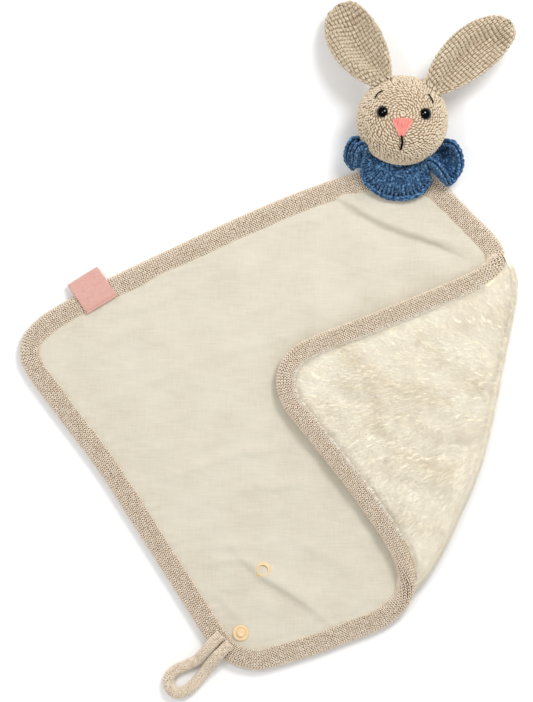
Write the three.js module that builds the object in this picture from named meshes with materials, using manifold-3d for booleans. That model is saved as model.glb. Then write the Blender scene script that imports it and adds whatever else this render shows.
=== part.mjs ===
// A baby's comforter: a muslin and plush blanket with a knitted border, one corner folded over,
// a crocheted rabbit head at the top corner, and a snap tab with a cord loop at the bottom corner.
// Millimetres, +Z up. The blanket lies flat, and the origin is the middle of its long diagonal,
// on the surface that it lies on. Angles are in degrees.
import * as THREE from 'three';
import { mergeVertices } from 'three/addons/utils/BufferGeometryUtils.js';
import Module from 'manifold-3d';

const wasm = await Module();
wasm.setup();

// Clearance between pieces that touch, and between the two layers of a fold
const gap = 0.3;
const fold_clearance = 0.4;

// Blanket outline, along the middle of the border: two sides from the head's corner round to the
// loop's corner, then the two tips where the border turns over the fold, and the folded corner
const head_corner = new THREE.Vector2(62, 175.3);
const head_side_length = 299;
const head_side_angle = 203.2;
const loop_side_length = 283;
const loop_side_angle = -56.7;
const low_fold_tip = new THREE.Vector2(78.8, -125.4);
const flap_corner = new THREE.Vector2(-38.9, 36);
const high_fold_tip = new THREE.Vector2(131.8, 104.8);
const head_corner_radius = 21;
const left_corner_radius = 30;
const loop_corner_radius = 38;
const low_fold_radius = 36;
const flap_corner_radius = 26;
const high_fold_radius = 13;

// Layers and border
const plush_thickness = 5.2;
const muslin_thickness = 1;
const border_width = 14;
const border_height = 8.4;
const border_wall = 1.1;
const seam_depth = 1;
const turn_bunch = 0.5;

// Fold: its two ends on the border, how far the soft roll stands out between them, how far it
// reaches back over the layers, and where along the fold it starts and ends
const fold_low_end = new THREE.Vector2(56.35, -132.4);
const fold_high_end = new THREE.Vector2(127.05, 111.9);
const fold_bulge = 23.5;
const roll_reach = 17;
const roll_low_start = 16;
const roll_high_end = 240;

// Snap tab and its two plastic snaps, placed from the loop's corner
const upper_snap_from_corner = new THREE.Vector2(15.1, 71.9);
const lower_snap_from_corner = new THREE.Vector2(-0.45, 27.7);
const snap_diameter = 11.3;
const snap_flange = 1;
const socket_height = 2.2;
const socket_bore = 6.6;
const socket_depth = 1.7;
const stud_diameter = 5.6;
const stud_height = 1.5;
const prong_diameter = 3;
const snap_cap_thickness = 1.3;

// Label over the border, measured along the head side from the left corner
const label_width = 24.5;
const label_thickness = 1.2;
const label_from_corner = 55;
const label_inside = 4;
const label_outside = 20.5;
const label_droop = 4.4;

// Loop of round cord, and its route at the middle of the cord, from the loop's corner
const cord_diameter = 7.4;
const cord_on_border = border_height + gap + cord_diameter / 2;
const cord_on_floor = gap / 2 + cord_diameter / 2;
const cord_route = [
  [-14.3, 26.7, cord_on_border],
  [-20, 20.7, 12.2],
  [-25.8, 14.4, 9.6],
  [-30.5, 9.2, 5.8],
  [-36.5, 6, cord_on_floor],
  [-43.3, 3.1, cord_on_floor],
  [-48.8, -0.4, cord_on_floor],
  [-51, -5.3, cord_on_floor],
  [-50.2, -10.2, cord_on_floor],
  [-47.2, -13.6, cord_on_floor],
  [-42.8, -14.1, cord_on_floor],
  [-36.5, -11.2, cord_on_floor],
  [-30.6, -5.3, cord_on_floor],
  [-25.1, 1.5, 5.4],
  [-20, 8.1, 9.2],
  [-14.6, 14.1, 12.2],
  [-8.3, 20, cord_on_border],
];

// Rabbit head: a crocheted ball, stuffed, whose neck leans down to the blanket's corner
const head_centre = new THREE.Vector3(55, 207.4, 32);
const head_radius = 32;
const head_wall = 3;
const head_turn = -3.5;
const neck_lean = 35;
const neck_top_radius = 13;
const neck_end_radius = 9;
const neck_reach = 38.2;

// Face, placed in plan from the middle of the head
const left_eye = new THREE.Vector2(-14.5, 4.9);
const right_eye = new THREE.Vector2(16.2, 5.3);
const eye_diameter = 8.4;
const eye_height = 3;
const eye_post_diameter = 3;
const eye_post_length = 8.2;
const washer_diameter = 11;
const washer_thickness = 1.6;
const nose_width = 13.6;
const nose_length = 13;
const nose_top = 1.4;
const nose_thickness = 1.6;
const mouth_length = 9.4;
const mouth_diameter = 1.6;
const brow_diameter = 1;
const brow_length = 8.5;
const brow_height = 17.5;
const brow_spread = 18.6;

// Ears: a dished oval, blunt at its tip, that bends a little to one side. Each has its length,
// the angle in plan where it is sewn to the ball, the angle in plan that it points along, and
// its slope to the table.
const ear_width = 36;
const ear_base_width = 18;
const ear_bend = 3.2;
const ear_thickness = 3.6;
const ear_dish = 6;
const ear_root_height = 5;
const ear_root_sink = 1.5;
const left_ear = { length: 70, sewn_at: 27, points_to: 27, slope: -24 };
const right_ear = { length: 77, sewn_at: -42, points_to: -52, slope: -11 };

// Ruffled collar round the neck
const collar_reach = 27;
const collar_front_reach = 25;
const collar_back_reach = 4;
const collar_thickness = 3;
const collar_wave = 6;
const collar_front_wave = 2;
const collar_lobes = 6;
const collar_place = 31.5;

// Facets of the round pieces
const ball_sides = 36;
const fill_sides = 28;
const small_sides = 20;

const radians = THREE.MathUtils.degToRad;
const up = new THREE.Vector3(0, 0, 1);
const fold_height = border_height + fold_clearance / 2;
const muslin_bottom = plush_thickness + gap;
const muslin_top = muslin_bottom + muslin_thickness;

const material = (color, roughness) => new THREE.MeshStandardMaterial({
  color, roughness, metalness: 0,
});
const muslin_look = () => material('#ece5d0', 0.9);
const plush_look = () => material('#f0e9d6', 1);
const border_look = () => material('#cbb89e', 0.95);
const yarn_look = () => material('#d6c2a6', 0.95);
const snap_look = () => material('#f5d9b0', 0.45);
const thread_look = () => material('#17130f', 0.7);
const eye_look = () => material('#0c0b0b', 0.12);

// Six times the volume that the faces close in, negative where they point inwards
function signed_volume(positions, corners) {
  const at = (k) => new THREE.Vector3().fromArray(positions, 3 * corners[k]);
  let sum = 0;
  for (let k = 0; k < corners.length; k += 3) sum += at(k).dot(at(k + 1).cross(at(k + 2)));
  return sum;
}

// A closed geometry as a solid that can be joined and cut, with its faces turned outwards
function solid_of(geometry) {
  const bare = geometry.index ? geometry.toNonIndexed() : geometry.clone();
  for (const name of ['normal', 'uv']) bare.deleteAttribute(name);
  const merged = mergeVertices(bare, 1e-4);
  const positions = new Float32Array(merged.attributes.position.array);
  const corners = new Uint32Array(merged.index.array);
  if (signed_volume(positions, corners) < 0) corners.reverse();
  return new wasm.Manifold(new wasm.Mesh({
    numProp: 3, vertProperties: positions, triVerts: corners,
  }));
}

// The largest connected piece of a solid, without the slivers that a cut may leave
function main_piece(solid) {
  const pieces = solid.decompose();
  pieces.sort((a, b) => b.volume() - a.volume());
  return pieces[0];
}

function geometry_of(solid) {
  const { vertProperties, triVerts } = solid.getMesh();
  const geometry = new THREE.BufferGeometry();
  geometry.setAttribute('position', new THREE.BufferAttribute(vertProperties, 3));
  geometry.setIndex(new THREE.BufferAttribute(triVerts, 1));
  geometry.computeVertexNormals();
  return geometry;
}

function piece(name, solid, look) {
  const mesh = new THREE.Mesh(geometry_of(solid), look);
  mesh.name = name;
  return mesh;
}

// A closed skin through rings of points. The ends are capped by the section's flat outline,
// or the last ring joins the first.
function loft(rings, section, closed = false) {
  const count = rings[0].length;
  const points = rings.flat().flatMap((p) => [p.x, p.y, p.z]);
  const faces = [];
  const spans = closed ? rings.length : rings.length - 1;
  for (let i = 0; i < spans; i += 1) {
    const here = i * count;
    const next = ((i + 1) % rings.length) * count;
    for (let k = 0; k < count; k += 1) {
      const other = (k + 1) % count;
      faces.push([here + k, next + k, next + other], [here + k, next + other, here + other]);
    }
  }
  if (!closed) {
    const last = (rings.length - 1) * count;
    const clockwise = THREE.ShapeUtils.isClockWise(section);
    for (const [a, b, c] of THREE.ShapeUtils.triangulateShape(section, [])) {
      const [p, q, r] = clockwise ? [a, c, b] : [a, b, c];
      faces.push([p, q, r], [last + p, last + r, last + q]);
    }
  }
  const geometry = new THREE.BufferGeometry();
  geometry.setAttribute('position', new THREE.Float32BufferAttribute(points, 3));
  geometry.setIndex(faces.flat());
  return geometry;
}

function slab(outline, bottom, top) {
  const depth = top - bottom;
  const geometry = new THREE.ExtrudeGeometry(new THREE.Shape(outline), {
    depth, bevelEnabled: false,
  });
  return solid_of(geometry.translate(0, 0, bottom));
}

function drum(radius, bottom, top, at = new THREE.Vector2()) {
  const geometry = new THREE.CylinderGeometry(radius, radius, top - bottom, 28);
  geometry.rotateX(Math.PI / 2).translate(at.x, at.y, (top + bottom) / 2);
  return solid_of(geometry);
}

function revolve(profile, segments) {
  const points = profile.map(([x, y]) => new THREE.Vector2(x, y));
  return new THREE.LatheGeometry(points, segments);
}

function ball(radius, segments = ball_sides) {
  const half_turn = new THREE.Path().absarc(0, 0, radius, -Math.PI / 2, Math.PI / 2);
  const profile = half_turn.getPoints(segments / 4);
  profile[0].x = 0;
  profile[profile.length - 1].x = 0;
  return solid_of(new THREE.LatheGeometry(profile, segments));
}

function polar(length, angle) {
  return new THREE.Vector2(length, 0).rotateAround(new THREE.Vector2(), radians(angle));
}

// Border stations: a place in plan, and how far the border has rolled over the fold there
function rounded_corner(before, corner, after, radius, steps, roll) {
  const back = before.clone().sub(corner).normalize();
  const on = after.clone().sub(corner).normalize();
  const half = back.angleTo(on) / 2;
  const start = corner.clone().addScaledVector(back, radius / Math.tan(half));
  const middle = back.clone().add(on).normalize();
  const centre = corner.clone().addScaledVector(middle, radius / Math.sin(half));
  const turn = Math.sign(on.cross(back)) * (Math.PI - 2 * half);
  return Array.from({ length: steps + 1 }, (_, k) => ({
    at: start.clone().rotateAround(centre, (turn * k) / steps),
    roll: roll(k / steps),
  }));
}

const left_corner = head_corner.clone().add(polar(head_side_length, head_side_angle));
const loop_corner = left_corner.clone().add(polar(loop_side_length, loop_side_angle));
const upper_snap = loop_corner.clone().add(upper_snap_from_corner);
const lower_snap = loop_corner.clone().add(lower_snap_from_corner);
const flat_roll = () => 0;
const flipped_roll = () => Math.PI;
const ease = (t) => t * t * (3 - 2 * t);
const head_arc = rounded_corner(
  high_fold_tip, head_corner, left_corner, head_corner_radius, 8, flat_roll,
);
const left_arc = rounded_corner(
  head_corner, left_corner, loop_corner, left_corner_radius, 9, flat_roll,
);
const loop_arc = rounded_corner(
  left_corner, loop_corner, low_fold_tip, loop_corner_radius, 8, flat_roll,
);
const low_arc = rounded_corner(
  loop_corner, low_fold_tip, flap_corner, low_fold_radius, 12, (t) => Math.PI * ease(t),
);
const flap_arc = rounded_corner(
  low_fold_tip, flap_corner, high_fold_tip, flap_corner_radius, 9, flipped_roll,
);
const high_arc = rounded_corner(
  flap_corner, high_fold_tip, head_corner, high_fold_radius, 12, (t) => Math.PI * (1 - ease(t)),
);

// The fold's own directions: along it from its low end, and outwards across it
const fold_along = fold_high_end.clone().sub(fold_low_end).normalize();
const fold_outward = new THREE.Vector2(fold_along.y, -fold_along.x);
const fold_length = fold_high_end.distanceTo(fold_low_end);
const along3 = new THREE.Vector3(fold_along.x, fold_along.y, 0);
const outward3 = new THREE.Vector3(fold_outward.x, fold_outward.y, 0);

function fold_place(along, outward) {
  return fold_low_end.clone().addScaledVector(fold_along, along).addScaledVector(fold_outward, outward);
}

function bulge_at(along) {
  return fold_bulge * Math.sqrt(Math.max(0, Math.sin((Math.PI * along) / fold_length)));
}

// The border's section: across it (outwards positive) and up it from the plush side
const half_width = border_width / 2;
const slot_bottom = border_wall;
const slot_top = muslin_top + gap;
const slot_end = seam_depth + gap;
const pillow = [
  [-1, 0.07], [-0.8, 0], [0.3, 0], [0.7, 0.11], [0.94, 0.3], [1, 0.5],
  [0.94, 0.7], [0.7, 0.89], [0.3, 1], [-0.35, 1], [-0.78, 0.95], [-1, 0.87],
].map(([u, v]) => new THREE.Vector2(u * half_width, v * border_height));
const slotted = [
  ...pillow,
  new THREE.Vector2(-half_width, slot_top),
  new THREE.Vector2(slot_end, slot_top),
  new THREE.Vector2(slot_end, slot_bottom),
  new THREE.Vector2(-half_width, slot_bottom),
];

// Sweeps the section along stations. Where the border rolls over the fold its fabric bunches up,
// so the section gets thicker there.
function border_run(stations, section, { grow = 0, bunch = 0 } = {}) {
  const centre_height = fold_height - border_height / 2;
  const middles = stations.map(({ at, roll }) => new THREE.Vector3(
    at.x, at.y, fold_height - centre_height * Math.cos(roll),
  ));
  const rings = stations.map(({ roll }, i) => {
    const before = middles[Math.max(0, i - 1)];
    const after = middles[Math.min(middles.length - 1, i + 1)];
    const travel = after.clone().sub(before).normalize();
    if (i === 0 || i === middles.length - 1) travel.setZ(0).normalize();
    const face = up.clone().multiplyScalar(Math.cos(roll)).addScaledVector(outward3, -Math.sin(roll));
    const across = travel.clone().cross(face).normalize();
    const upright = across.clone().cross(travel).normalize();
    const thicker = 1 + bunch * Math.sin(roll) ** 2;
    return section.map(({ x, y }) => {
      const offset = y - border_height / 2;
      const wide = x + grow * Math.sign(x);
      const high = offset * thicker + grow * Math.sign(offset);
      const place = middles[i].clone().addScaledVector(across, wide).addScaledVector(upright, high);
      return place.setZ(THREE.MathUtils.clamp(place.z, -grow, 2 * fold_height + grow));
    });
  });
  return solid_of(loft(rings, section));
}

// A station list whose two ends are pulled in (or let out, when negative) along the run
function pulled_in(stations, amount) {
  const ends = stations.map((station) => ({ ...station, at: station.at.clone() }));
  const pull = (end, next) => {
    end.at.addScaledVector(next.at.clone().sub(end.at).normalize(), amount);
  };
  pull(ends[0], ends[1]);
  pull(ends[ends.length - 1], ends[ends.length - 2]);
  return ends;
}

const main_stations = [high_arc[high_arc.length - 1], ...head_arc, ...left_arc, ...loop_arc, low_arc[0]];
const flap_stations = [low_arc[low_arc.length - 1], ...flap_arc, high_arc[0]];
const low_turn = border_run(low_arc, pillow, { bunch: turn_bunch });
const high_turn = border_run(high_arc, pillow, { bunch: turn_bunch });
const turn_rooms = [low_arc, high_arc].map((arc) => border_run(
  pulled_in(arc, -gap), pillow, { grow: gap, bunch: turn_bunch },
));
const without_turns = (solid) => main_piece(
  turn_rooms.reduce((rest, room) => rest.subtract(room), solid),
);
const main_border = without_turns(border_run(pulled_in(main_stations, gap), slotted));
const flap_border = without_turns(border_run(pulled_in(flap_stations, gap), slotted));

// The half of space on the loop's side of the tab's fold, which lies midway between the snaps
const tab_direction = lower_snap.clone().sub(upper_snap).normalize();
const tab_middle = lower_snap.clone().add(upper_snap).multiplyScalar(0.5);
function tab_side(margin) {
  const size = loop_side_length + head_side_length;
  const box = new THREE.BoxGeometry(size, size, size).translate(size / 2 + margin, 0, 0);
  box.rotateZ(tab_direction.angle()).translate(tab_middle.x, tab_middle.y, 0);
  return solid_of(box);
}
const tab_half = tab_side(gap / 2);
const tab_half_and_gap = tab_side(-gap / 2);

// One layer between two heights: inside a line along the border, as far as the fold's roll
const fold_steps = 14;
const roll_alongs = Array.from({ length: fold_steps + 1 }, (_, k) => (
  THREE.MathUtils.lerp(roll_low_start, roll_high_end, k / fold_steps)
));
const beyond = 60;
const roll_starts = roll_alongs.map((along) => (
  fold_place(along, bulge_at(along) - roll_reach - gap)
));
const past_fold = [
  roll_starts[0].clone().addScaledVector(fold_along, -beyond),
  ...roll_starts,
  roll_starts[fold_steps].clone().addScaledVector(fold_along, beyond),
  fold_place(fold_length + beyond, 2 * beyond),
  fold_place(-beyond, 2 * beyond),
];
function layer(stations, flipped, reach, bottom, top) {
  const edge = stations.map(({ at }, i) => {
    const before = stations[Math.max(0, i - 1)].at;
    const after = stations[Math.min(stations.length - 1, i + 1)].at;
    const travel = after.clone().sub(before).normalize();
    const side = new THREE.Vector2(travel.y, -travel.x).multiplyScalar(flipped ? -1 : 1);
    return { place: at.clone().addScaledVector(side, reach), travel };
  });
  const first = edge[0];
  const last = edge[edge.length - 1];
  const outline = [
    first.place.clone().addScaledVector(first.travel, -beyond),
    ...edge.map(({ place }) => place),
    last.place.clone().addScaledVector(last.travel, beyond),
  ];
  return slab(outline, bottom, top).subtract(slab(past_fold, bottom - 1, top + 1));
}

// The plush fills the opening inside the border, and its thinner rim runs into the seam
function plush_layer(stations, flipped) {
  const rim = layer(stations, flipped, seam_depth, slot_bottom + gap, plush_thickness);
  return layer(stations, flipped, -half_width - gap, 0, plush_thickness).add(rim);
}

const turned_over = (solid) => solid.scale([1, 1, -1]).translate([0, 0, 2 * fold_height]);

// Snaps: their stacks go through both layers, with the cap let into the plush underneath
const snap_places = { upper_snap, lower_snap };
const snap_room = Object.values(snap_places).map((at) => (
  drum(snap_diameter / 2 + gap, -1, snap_cap_thickness + gap, at).add(
    drum(prong_diameter / 2 + gap, -1, muslin_top + 1, at),
  )
)).reduce((all, room) => all.add(room));

const main_plush = without_turns(plush_layer(main_stations, false)).subtract(snap_room);
const main_muslin = without_turns(
  layer(main_stations, false, seam_depth, muslin_bottom, muslin_top),
).subtract(snap_room);
const flap_plush = without_turns(turned_over(plush_layer(flap_stations, true)));
const flap_muslin = without_turns(
  turned_over(layer(flap_stations, true, seam_depth, muslin_bottom, muslin_top)),
);

// The soft roll of one layer where the blanket folds over: half an oval, open to the inside
function fold_roll(outer, inner) {
  const steps = 8;
  const leaf = (inset, reverse) => Array.from({ length: steps + 1 }, (_, k) => {
    const t = reverse ? 1 - k / steps : k / steps;
    const angle = -Math.PI / 2 + Math.PI * t;
    return new THREE.Vector2(
      (roll_reach - inset) * Math.cos(angle), fold_height + (fold_height - inset) * Math.sin(angle),
    );
  });
  const section = [...leaf(outer, false), ...leaf(inner, true)];
  const rings = roll_alongs.map((along) => section.map(({ x, y }) => {
    const { x: px, y: py } = fold_place(along, bulge_at(along) - roll_reach + x);
    return new THREE.Vector3(px, py, y);
  }));
  return without_turns(solid_of(loft(rings, section)));
}
const plush_roll = fold_roll(0, plush_thickness);
const muslin_roll = fold_roll(muslin_bottom, muslin_top);

function snap_parts() {
  const flange = snap_diameter / 2;
  const seat = muslin_top + gap;
  const prong = prong_diameter / 2;
  const rim = 0.5;
  const wall = socket_bore / 2;
  const socket = revolve([
    [0, 0], [flange, 0], [flange, snap_flange - rim / 2], [flange - rim, snap_flange],
    [wall + 1.1, snap_flange + 0.15], [wall + 0.9, socket_height - 0.3],
    [wall + 0.5, socket_height], [wall, socket_height - 0.2],
    [wall, socket_height - socket_depth], [0, socket_height - socket_depth],
  ], small_sides);
  const nose = stud_diameter / 2;
  const stud = revolve([
    [0, 0], [flange, 0], [flange, snap_flange - rim / 2], [flange - rim, snap_flange],
    [nose + 1, snap_flange], [nose + 0.6, snap_flange - 0.3], [nose - 0.3, snap_flange - 0.3],
    [nose, snap_flange + stud_height / 2], [nose - 0.5, snap_flange + stud_height],
    [0, snap_flange + stud_height],
  ], small_sides);
  const cap = revolve([
    [0, 0], [flange - rim, 0], [flange, rim], [flange, snap_cap_thickness - 0.2],
    [flange - 0.2, snap_cap_thickness], [prong, snap_cap_thickness],
    [prong, seat - gap], [0, seat - gap],
  ], small_sides);
  const stand = (geometry, at, height) => solid_of(
    geometry.clone().rotateX(Math.PI / 2).translate(at.x, at.y, height),
  );
  return [
    piece('snap_socket', stand(socket, upper_snap, seat), snap_look()),
    piece('snap_stud', stand(stud, lower_snap, seat), snap_look()),
    piece('snap_cap_upper', stand(cap, upper_snap, 0), snap_look()),
    piece('snap_cap_lower', stand(cap, lower_snap, 0), snap_look()),
  ];
}

// The label: a folded strip that lies over the border's crown and stands out past its edge
function label_part() {
  const curve = new THREE.CubicBezierCurve(
    new THREE.Vector2(-label_inside, 0), new THREE.Vector2(label_inside, 0),
    new THREE.Vector2(label_outside / 2, 0), new THREE.Vector2(label_outside, -label_droop),
  );
  const under = curve.getPoints(9).reverse();
  const over = curve.getPoints(9).map((p) => p.clone().setY(p.y + label_thickness));
  const outline = new THREE.Shape([...under, ...over]);
  const geometry = new THREE.ExtrudeGeometry(outline, { depth: label_width, bevelEnabled: false });
  geometry.translate(0, border_height + gap, -label_width / 2).rotateX(Math.PI / 2);
  const side = polar(1, head_side_angle);
  const across = new THREE.Vector2(side.y, -side.x);
  const place = left_corner.clone().addScaledVector(side, -label_from_corner);
  geometry.rotateZ(across.angle()).translate(place.x, place.y, 0);
  return piece('label', solid_of(geometry), material('#e8b2a6', 0.75));
}

function loop_part() {
  const route = new THREE.CatmullRomCurve3(cord_route.map(([x, y, z]) => (
    new THREE.Vector3(loop_corner.x + x, loop_corner.y + y, z)
  )));
  const sides = 10;
  const round = new THREE.Shape(Array.from({ length: sides }, (_, k) => (
    polar(cord_diameter / 2, (360 * k) / sides)
  )));
  const tube = new THREE.ExtrudeGeometry(round, {
    steps: 34, extrudePath: route, bevelEnabled: false,
  });
  return piece('loop_cord', solid_of(tube), border_look());
}

const blanket = new THREE.Group();
const border_halves = main_border.subtract(tab_half_and_gap).decompose();
border_halves.sort((a, b) => b.volume() - a.volume());
blanket.add(
  piece('muslin_main', main_piece(main_muslin.subtract(tab_half_and_gap)), muslin_look()),
  piece('plush_main', main_piece(main_plush.subtract(tab_half_and_gap)), plush_look()),
  piece('muslin_tab', main_piece(main_muslin.intersect(tab_half)), muslin_look()),
  piece('plush_tab', main_piece(main_plush.intersect(tab_half)), plush_look()),
  piece('muslin_flap', flap_muslin, muslin_look()),
  piece('plush_flap', flap_plush, plush_look()),
  piece('muslin_fold', muslin_roll, muslin_look()),
  piece('plush_fold', plush_roll, plush_look()),
  piece('border_head_side', border_halves[0], border_look()),
  piece('border_low_side', border_halves[1], border_look()),
  piece('border_tab', main_piece(main_border.intersect(tab_half)), border_look()),
  piece('border_flap', flap_border, border_look()),
  piece('border_turn_low', low_turn, border_look()),
  piece('border_turn_high', high_turn, border_look()),
  ...snap_parts(),
  label_part(),
  loop_part(),
);

// Rabbit head, in its own frame: middle at zero, crown towards +Y, face towards +Z
const neck_turn = new THREE.Matrix4().makeRotationX(radians(neck_lean));
const neck_direction = new THREE.Vector3(0, -1, 0).applyMatrix4(neck_turn);

// Profile of the ball with its neck, as radius and height above the middle, neck downwards
function ball_and_neck(inset) {
  const radius = head_radius - inset;
  const start = Math.asin((neck_top_radius - inset) / radius);
  const arc = new THREE.Path().absarc(0, 0, radius, Math.PI / 2, start - Math.PI / 2, true);
  const points = arc.getPoints(8);
  points[0].x = 0;
  return [...points, new THREE.Vector2(neck_end_radius - inset * 0.5, -neck_reach)];
}

function head_parts() {
  const outer = ball_and_neck(0);
  const inner = ball_and_neck(head_wall);
  const fill = ball_and_neck(head_wall + gap);
  const shell_profile = [...outer, ...inner.reverse()];
  const fill_end = new THREE.Vector2(0, -neck_reach);
  const lean = (geometry) => solid_of(geometry.applyMatrix4(neck_turn));
  let shell = lean(new THREE.LatheGeometry(shell_profile, ball_sides));
  let stuffing = lean(new THREE.LatheGeometry([...fill, fill_end], fill_sides));
  const parts = [];
  for (const [side, eye] of [['left', left_eye], ['right', right_eye]]) {
    const height = Math.sqrt(head_radius ** 2 - eye.lengthSq());
    const out = new THREE.Vector3(eye.x, eye.y, height).normalize();
    const stand = new THREE.Matrix4().makeRotationFromQuaternion(
      new THREE.Quaternion().setFromUnitVectors(new THREE.Vector3(0, 1, 0), out),
    );
    const seat = head_radius + gap;
    const dome = new THREE.Path().absellipse(0, seat, eye_diameter / 2, eye_height, 0, Math.PI / 2);
    const post = eye_post_diameter / 2;
    const profile = [
      [0, seat - eye_post_length], [post, seat - eye_post_length], [post, seat],
      ...dome.getPoints(6).map((p) => [p.x, p.y]),
    ];
    profile[profile.length - 1][0] = 0;
    const set = (geometry) => solid_of(geometry.applyMatrix4(stand));
    parts.push(piece(`eye_${side}`, set(revolve(profile, small_sides)), eye_look()));
    const face_out = Math.sqrt((head_radius - head_wall - gap) ** 2 - (washer_diameter / 2) ** 2);
    const washer = (grow) => set(revolve([
      [post + gap - grow, face_out - washer_thickness - grow],
      [washer_diameter / 2 + grow, face_out - washer_thickness - grow],
      [washer_diameter / 2 + grow, face_out + grow], [post + gap - grow, face_out + grow],
      [post + gap - grow, face_out - washer_thickness - grow],
    ], small_sides));
    parts.push(piece(`eye_washer_${side}`, washer(0), material('#e9e6de', 0.5)));
    const post_room = set(revolve([
      [0, 0.6 * head_radius], [post + gap, 0.6 * head_radius],
      [post + gap, head_radius + 1], [0, head_radius + 1],
    ], small_sides));
    const washer_room = set(revolve([
      [0, face_out - washer_thickness - gap],
      [washer_diameter / 2 + gap, face_out - washer_thickness - gap],
      [washer_diameter / 2 + gap, head_radius], [0, head_radius],
    ], small_sides));
    shell = shell.subtract(post_room);
    stuffing = stuffing.subtract(post_room).subtract(washer_room);
  }
  parts.push(piece('head_shell', main_piece(shell), yarn_look()));
  parts.push(piece('head_stuffing', main_piece(stuffing), material('#f7f5ef', 1)));
  return parts;
}

// A round thread laid on the ball, through points given in plan
function thread_part(name, plan_points, diameter) {
  const lie = head_radius + gap + diameter / 2;
  const curve = new THREE.CatmullRomCurve3(plan_points.map(([x, y]) => (
    new THREE.Vector3(x, y, Math.sqrt(lie ** 2 - x ** 2 - y ** 2))
  )));
  const round = new THREE.Shape(Array.from({ length: 8 }, (_, k) => polar(diameter / 2, 45 * k)));
  const tube = new THREE.ExtrudeGeometry(round, {
    steps: 8, extrudePath: curve, bevelEnabled: false,
  });
  return piece(name, solid_of(tube), thread_look());
}

function nose_part() {
  const half = nose_width / 2;
  const tip = nose_top - nose_length;
  const shoulder = nose_top - nose_length * 0.25;
  const cheek = nose_top - nose_length * 0.65;
  const outline = new THREE.Shape();
  outline.moveTo(-half * 0.55, nose_top);
  outline.lineTo(half * 0.55, nose_top);
  outline.quadraticCurveTo(half * 1.05, nose_top, half * 0.9, shoulder);
  outline.quadraticCurveTo(half * 0.6, cheek, half * 0.12, tip);
  outline.lineTo(-half * 0.12, tip);
  outline.quadraticCurveTo(-half * 0.6, cheek, -half * 0.9, shoulder);
  outline.quadraticCurveTo(-half * 1.05, nose_top, -half * 0.55, nose_top);
  const prism = slab(outline.getPoints(5), head_radius / 2, head_radius * 2);
  const skin = ball(head_radius + gap + nose_thickness).subtract(ball(head_radius + gap));
  return piece('nose', main_piece(prism.intersect(skin)), material('#f48c88', 0.6));
}

// An ear in its own frame: root at zero, tip along +Y, hollow side towards +Z
function ear_part(name, { length, sewn_at, points_to, slope }) {
  const stations = 14;
  const across = 6;
  const rings = Array.from({ length: stations }, (_, i) => {
    const t = 0.5 - 0.5 * Math.cos((Math.PI * (i + 0.4)) / (stations - 0.2));
    const swell = Math.sin(Math.PI * t ** 1.05) ** 0.4;
    const half = Math.max(ear_width * swell, ear_base_width * (1 - t)) / 2;
    const bend = -ear_bend * Math.sin(0.8 * Math.PI * t);
    const thin = ear_thickness * Math.min(1, 0.35 + swell);
    const top = Array.from({ length: across + 1 }, (_, k) => {
      const u = (2 * k) / across - 1;
      return new THREE.Vector2(half * u, ear_dish * swell * (u * u - 0.35) + thin / 2);
    });
    const under = top.map((p, k) => (
      new THREE.Vector2(p.x * (k % across ? 1 : 0.97), p.y - thin)
    )).reverse();
    return [...top, ...under].map((p) => (
      new THREE.Vector3(p.x + bend, (t - 0.04) * length, p.y)
    ));
  });
  const section = rings[0].map((p) => new THREE.Vector2(p.x, p.z));
  const turn = (angle) => new THREE.Matrix4().makeRotationZ(radians(angle));
  const place = turn(sewn_at - head_turn)
    .multiply(new THREE.Matrix4().makeTranslation(0, head_radius - ear_root_sink, ear_root_height))
    .multiply(turn(points_to - sewn_at))
    .multiply(new THREE.Matrix4().makeRotationX(radians(slope)));
  const ear = solid_of(loft(rings, section).applyMatrix4(place));
  return piece(name, main_piece(ear.subtract(ball(head_radius + gap))), yarn_look());
}

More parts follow.
